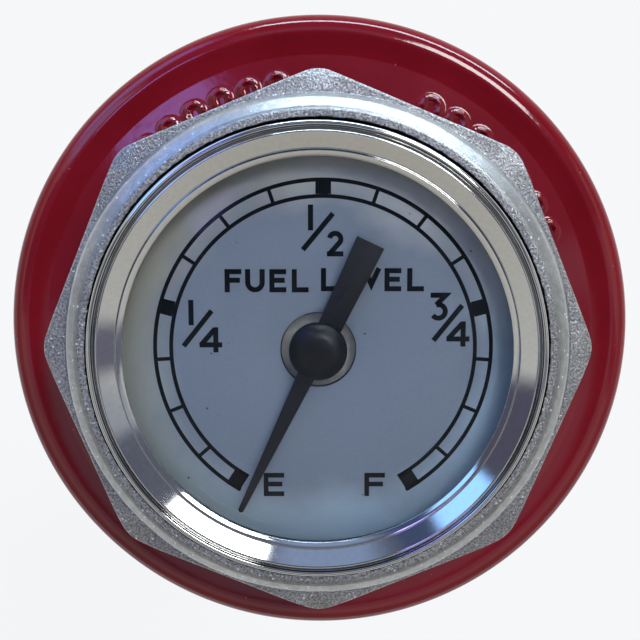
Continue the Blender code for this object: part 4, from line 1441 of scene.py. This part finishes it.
# Pivot pin and pointer: a steel pin in the head's well carries the pointer, one satin
# blue-black moulding with a domed hub, a slim blade and a broad tail, and the tinned cup of
# its magnet.
pointer_rest = math.radians(154.4)
hub_radius = 0.0032
blade_bottom = 0.01710
blade_top = 0.01755
blade_length = 0.0202

pin_low, pin_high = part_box("pivot_pin")
pin_bm = turned(
    rounded(
        [
            (0.0, pin_high.z, 0.0),
            (0.0004, pin_high.z - 0.0002, 0.0001),
            (0.0008, pin_high.z - 0.0006, 0.0001),
            (0.0008, pin_low.z, 0.0),
            (0.0, pin_low.z, 0.0),
        ],
        steps=3,
    ),
    rod_steps,
)
add_piece("pointer_pin", pin_bm, steel_finish, "head", "plated_steel", "pivot_pin")


def pointer_black():
    """Satin blue-black moulding with a fine tooth and a few pale chips."""
    finish, tree, shader, place = begin_finish("pointer_black")
    tooth = grain(tree, place, 0.00035, 4.0, 0.65)
    patch = grain(tree, place, 0.003, 3.0)
    chips = spots(tree, place, 0.0016, 0.050)
    black = shades(tree, patch, (0.30, (0.011, 0.013, 0.022)), (0.70, (0.022, 0.020, 0.023)))
    tree.links.new(blended(tree, chips, black, (0.22, 0.22, 0.24)), shader.inputs["Base Color"])
    tree.links.new(span(tree, tooth, 0.3, 0.7, 0.34, 0.52), shader.inputs["Roughness"])
    relief(tree, shader, tooth, 0.000022)
    return finish


hub_bm = turned(
    rounded(
        [
            (0.0, 0.0192, 0.0),
            (0.0021, 0.0189, 0.0020),
            (hub_radius, 0.0179, 0.0007),
            (hub_radius, 0.0170, 0.00015),
            (0.0016, 0.0170, 0.0),
            (0.0016, 0.0143, 0.0001),
            (0.0, 0.0143, 0.0),
        ],
        steps=6,
    ),
    bearing_steps,
)
tip_half = 0.00030
tip_arc = curve_points((0.0, blade_length - tip_half), tip_half, 90.0, -90.0, 9)
arm_outline = [
    (-0.00130, -0.0022),
    (-0.00162, -0.0132),
    (0.00162, -0.0132),
    (0.00130, -0.0022),
    (0.00100, 0.0022),
    *tip_arc,
    (-0.00100, 0.0022),
]
arm_bm = flat_solid(arm_outline, blade_bottom, blade_top, 0.00009)
pointer_bm = cut_by(hub_bm, arm_bm, "UNION")
bmesh.ops.rotate(
    pointer_bm,
    verts=pointer_bm.verts,
    cent=(0.0, 0.0, 0.0),
    matrix=Matrix.Rotation(pointer_rest, 3, "Z"),
)
add_piece("black_pointer", pointer_bm, pointer_black(), "pointer", "pointer_black", "pointer", sharp=30.0)

tin_finish = turned_metal(
    "tinned_cup", 0.0012, (0.66, 0.64, 0.60), (0.88, 0.86, 0.82), 0.25, 0.38, 0.55, 0.00012
)
cup_line = rounded(
    [
        (0.00175, 0.0151, 0.0),
        (0.0052, 0.0151, 0.0005),
        (0.0052, 0.0116, 0.0),
    ]
)
cup_bm = turned(sheet(cup_line, 0.0005), bearing_steps, True)
add_piece("magnet_cup", cup_bm, tin_finish, "pointer", "plated_steel", "pointer_cup")

# Glass: a slightly domed disc with a flat rim, pressed on the rubber ring by the bezel. Its
# crown leaves room for the pointer's hub, and it mirrors little of the studio.
lens_radius = 0.0234
lens_rim = 0.0022
lens_crown = 0.0019
lens_bottom = 0.0176
lens_top = 0.0189


def dome(edge_height):
    """Points of the domed face from the middle out to the flat rim."""
    reach = lens_radius - lens_rim
    ball = (reach**2 + lens_crown**2) / (2 * lens_crown)
    count = 14
    points = []
    for i in range(count + 1):
        radius = reach * i / count
        points.append((radius, edge_height + math.sqrt(ball**2 - radius**2) - ball + lens_crown))
    return points


def clear_glass():
    """Clear glass with a few faint smears."""
    finish, tree, shader, place = begin_finish("clear_glass")
    smear = grain(tree, place, 0.006, 4.0)
    shader.inputs["Base Color"].default_value = (0.96, 0.98, 0.98, 1.0)
    shader.inputs["Transmission Weight"].default_value = 1.0
    shader.inputs["IOR"].default_value = 1.33
    shader.inputs["Specular Tint"].default_value = (0.40, 0.40, 0.40, 1.0)
    tree.links.new(span(tree, smear, 0.45, 0.75, 0.0, 0.035), shader.inputs["Roughness"])
    relief(tree, shader, smear, 0.000004)
    return finish


lens_bm = turned(
    [
        *dome(lens_top),
        (lens_radius - 0.0002, lens_top),
        (lens_radius, lens_top - 0.0002),
        (lens_radius, lens_bottom + 0.0002),
        (lens_radius - 0.0002, lens_bottom),
        *dome(lens_bottom)[::-1],
    ],
    ring_steps,
)
add_piece("domed_glass", lens_bm, clear_glass(), "head", "clear_glass", "lens")

# Bezel: a ring rolled from sheet and chrome plated, with an inner lip, a face that slopes in
# to the glass, a crest, and an outer bead that seats in the head's mouth.
bezel_steps = 256
groove_inner = 0.02376
groove_outer = 0.02418
groove_blur = 0.00012
bead_radii = (0.02474, 0.02478)


def chrome():
    """Bright chrome plate with fine rings from polishing and dull smears, and painted shade in its groove
    and at its outer edge.
    """
    finish, tree, shader, place = begin_finish("chrome")
    smear = grain(tree, place, 0.004, 4.0)
    fine = grain(tree, place, 0.0005, 3.0)
    shader.inputs["Metallic"].default_value = 1.0
    plate = shades(tree, fine, (0.30, (0.74, 0.74, 0.74)), (0.70, (0.79, 0.79, 0.78)))
    distance, _ = axis_distance(tree, place)
    # Painted shade: grey in the groove between crest and bead, and on the bead's outer edge next to the
    # gap to the head.
    ragged = sums(tree, "ADD", distance, span(tree, smear, 0.3, 0.7, -0.00006, 0.00006))
    into = span(tree, ragged, groove_inner, groove_inner + groove_blur, 0.0, 1.0)
    out_of = span(tree, ragged, groove_outer - groove_blur, groove_outer, 1.0, 0.0)
    grooved = sums(tree, "MULTIPLY", into, out_of)
    painted_shade = sums(tree, "MAXIMUM", grooved, span(tree, ragged, *bead_radii, 0.0, 1.0))
    tree.links.new(blended(tree, painted_shade, plate, (0.22, 0.215, 0.22)), shader.inputs["Base Color"])
    tree.links.new(span(tree, smear, 0.35, 0.75, 0.04, 0.11), shader.inputs["Roughness"])
    rings = relief(tree, shader, turning_lines(tree, place, 0.0003), 0.0000007)
    relief(tree, shader, fine, 0.0000009, rings)
    return finish


bezel_bm = turned(
    rounded(
        [
            (0.0211, 0.0192, 0.00008),
            (0.0211, 0.01956, 0.00006),
            (0.02168, 0.019868, 0.00006),
            (0.02186, 0.019539, 0.00004),
            (0.02196, 0.019593, 0.0),
            (0.02345, 0.020393, 0.0),
            (0.02365, 0.0205, 0.00016),
            (0.02388, 0.02015, 0.00012),
            (0.02415, 0.01990, 0.00010),
            (0.02430, 0.02030, 0.00022),
            (0.02480, 0.02010, 0.00030),
            (0.0248, 0.0169, 0.00008),
            (0.0237, 0.0169, 0.00008),
            (0.0237, 0.0192, 0.00008),
        ],
        loop=True,
    ),
    bezel_steps,
    True,
)
add_piece("chrome_bezel", bezel_bm, chrome(), "head", "chrome", "bezel", sharp=45.0)
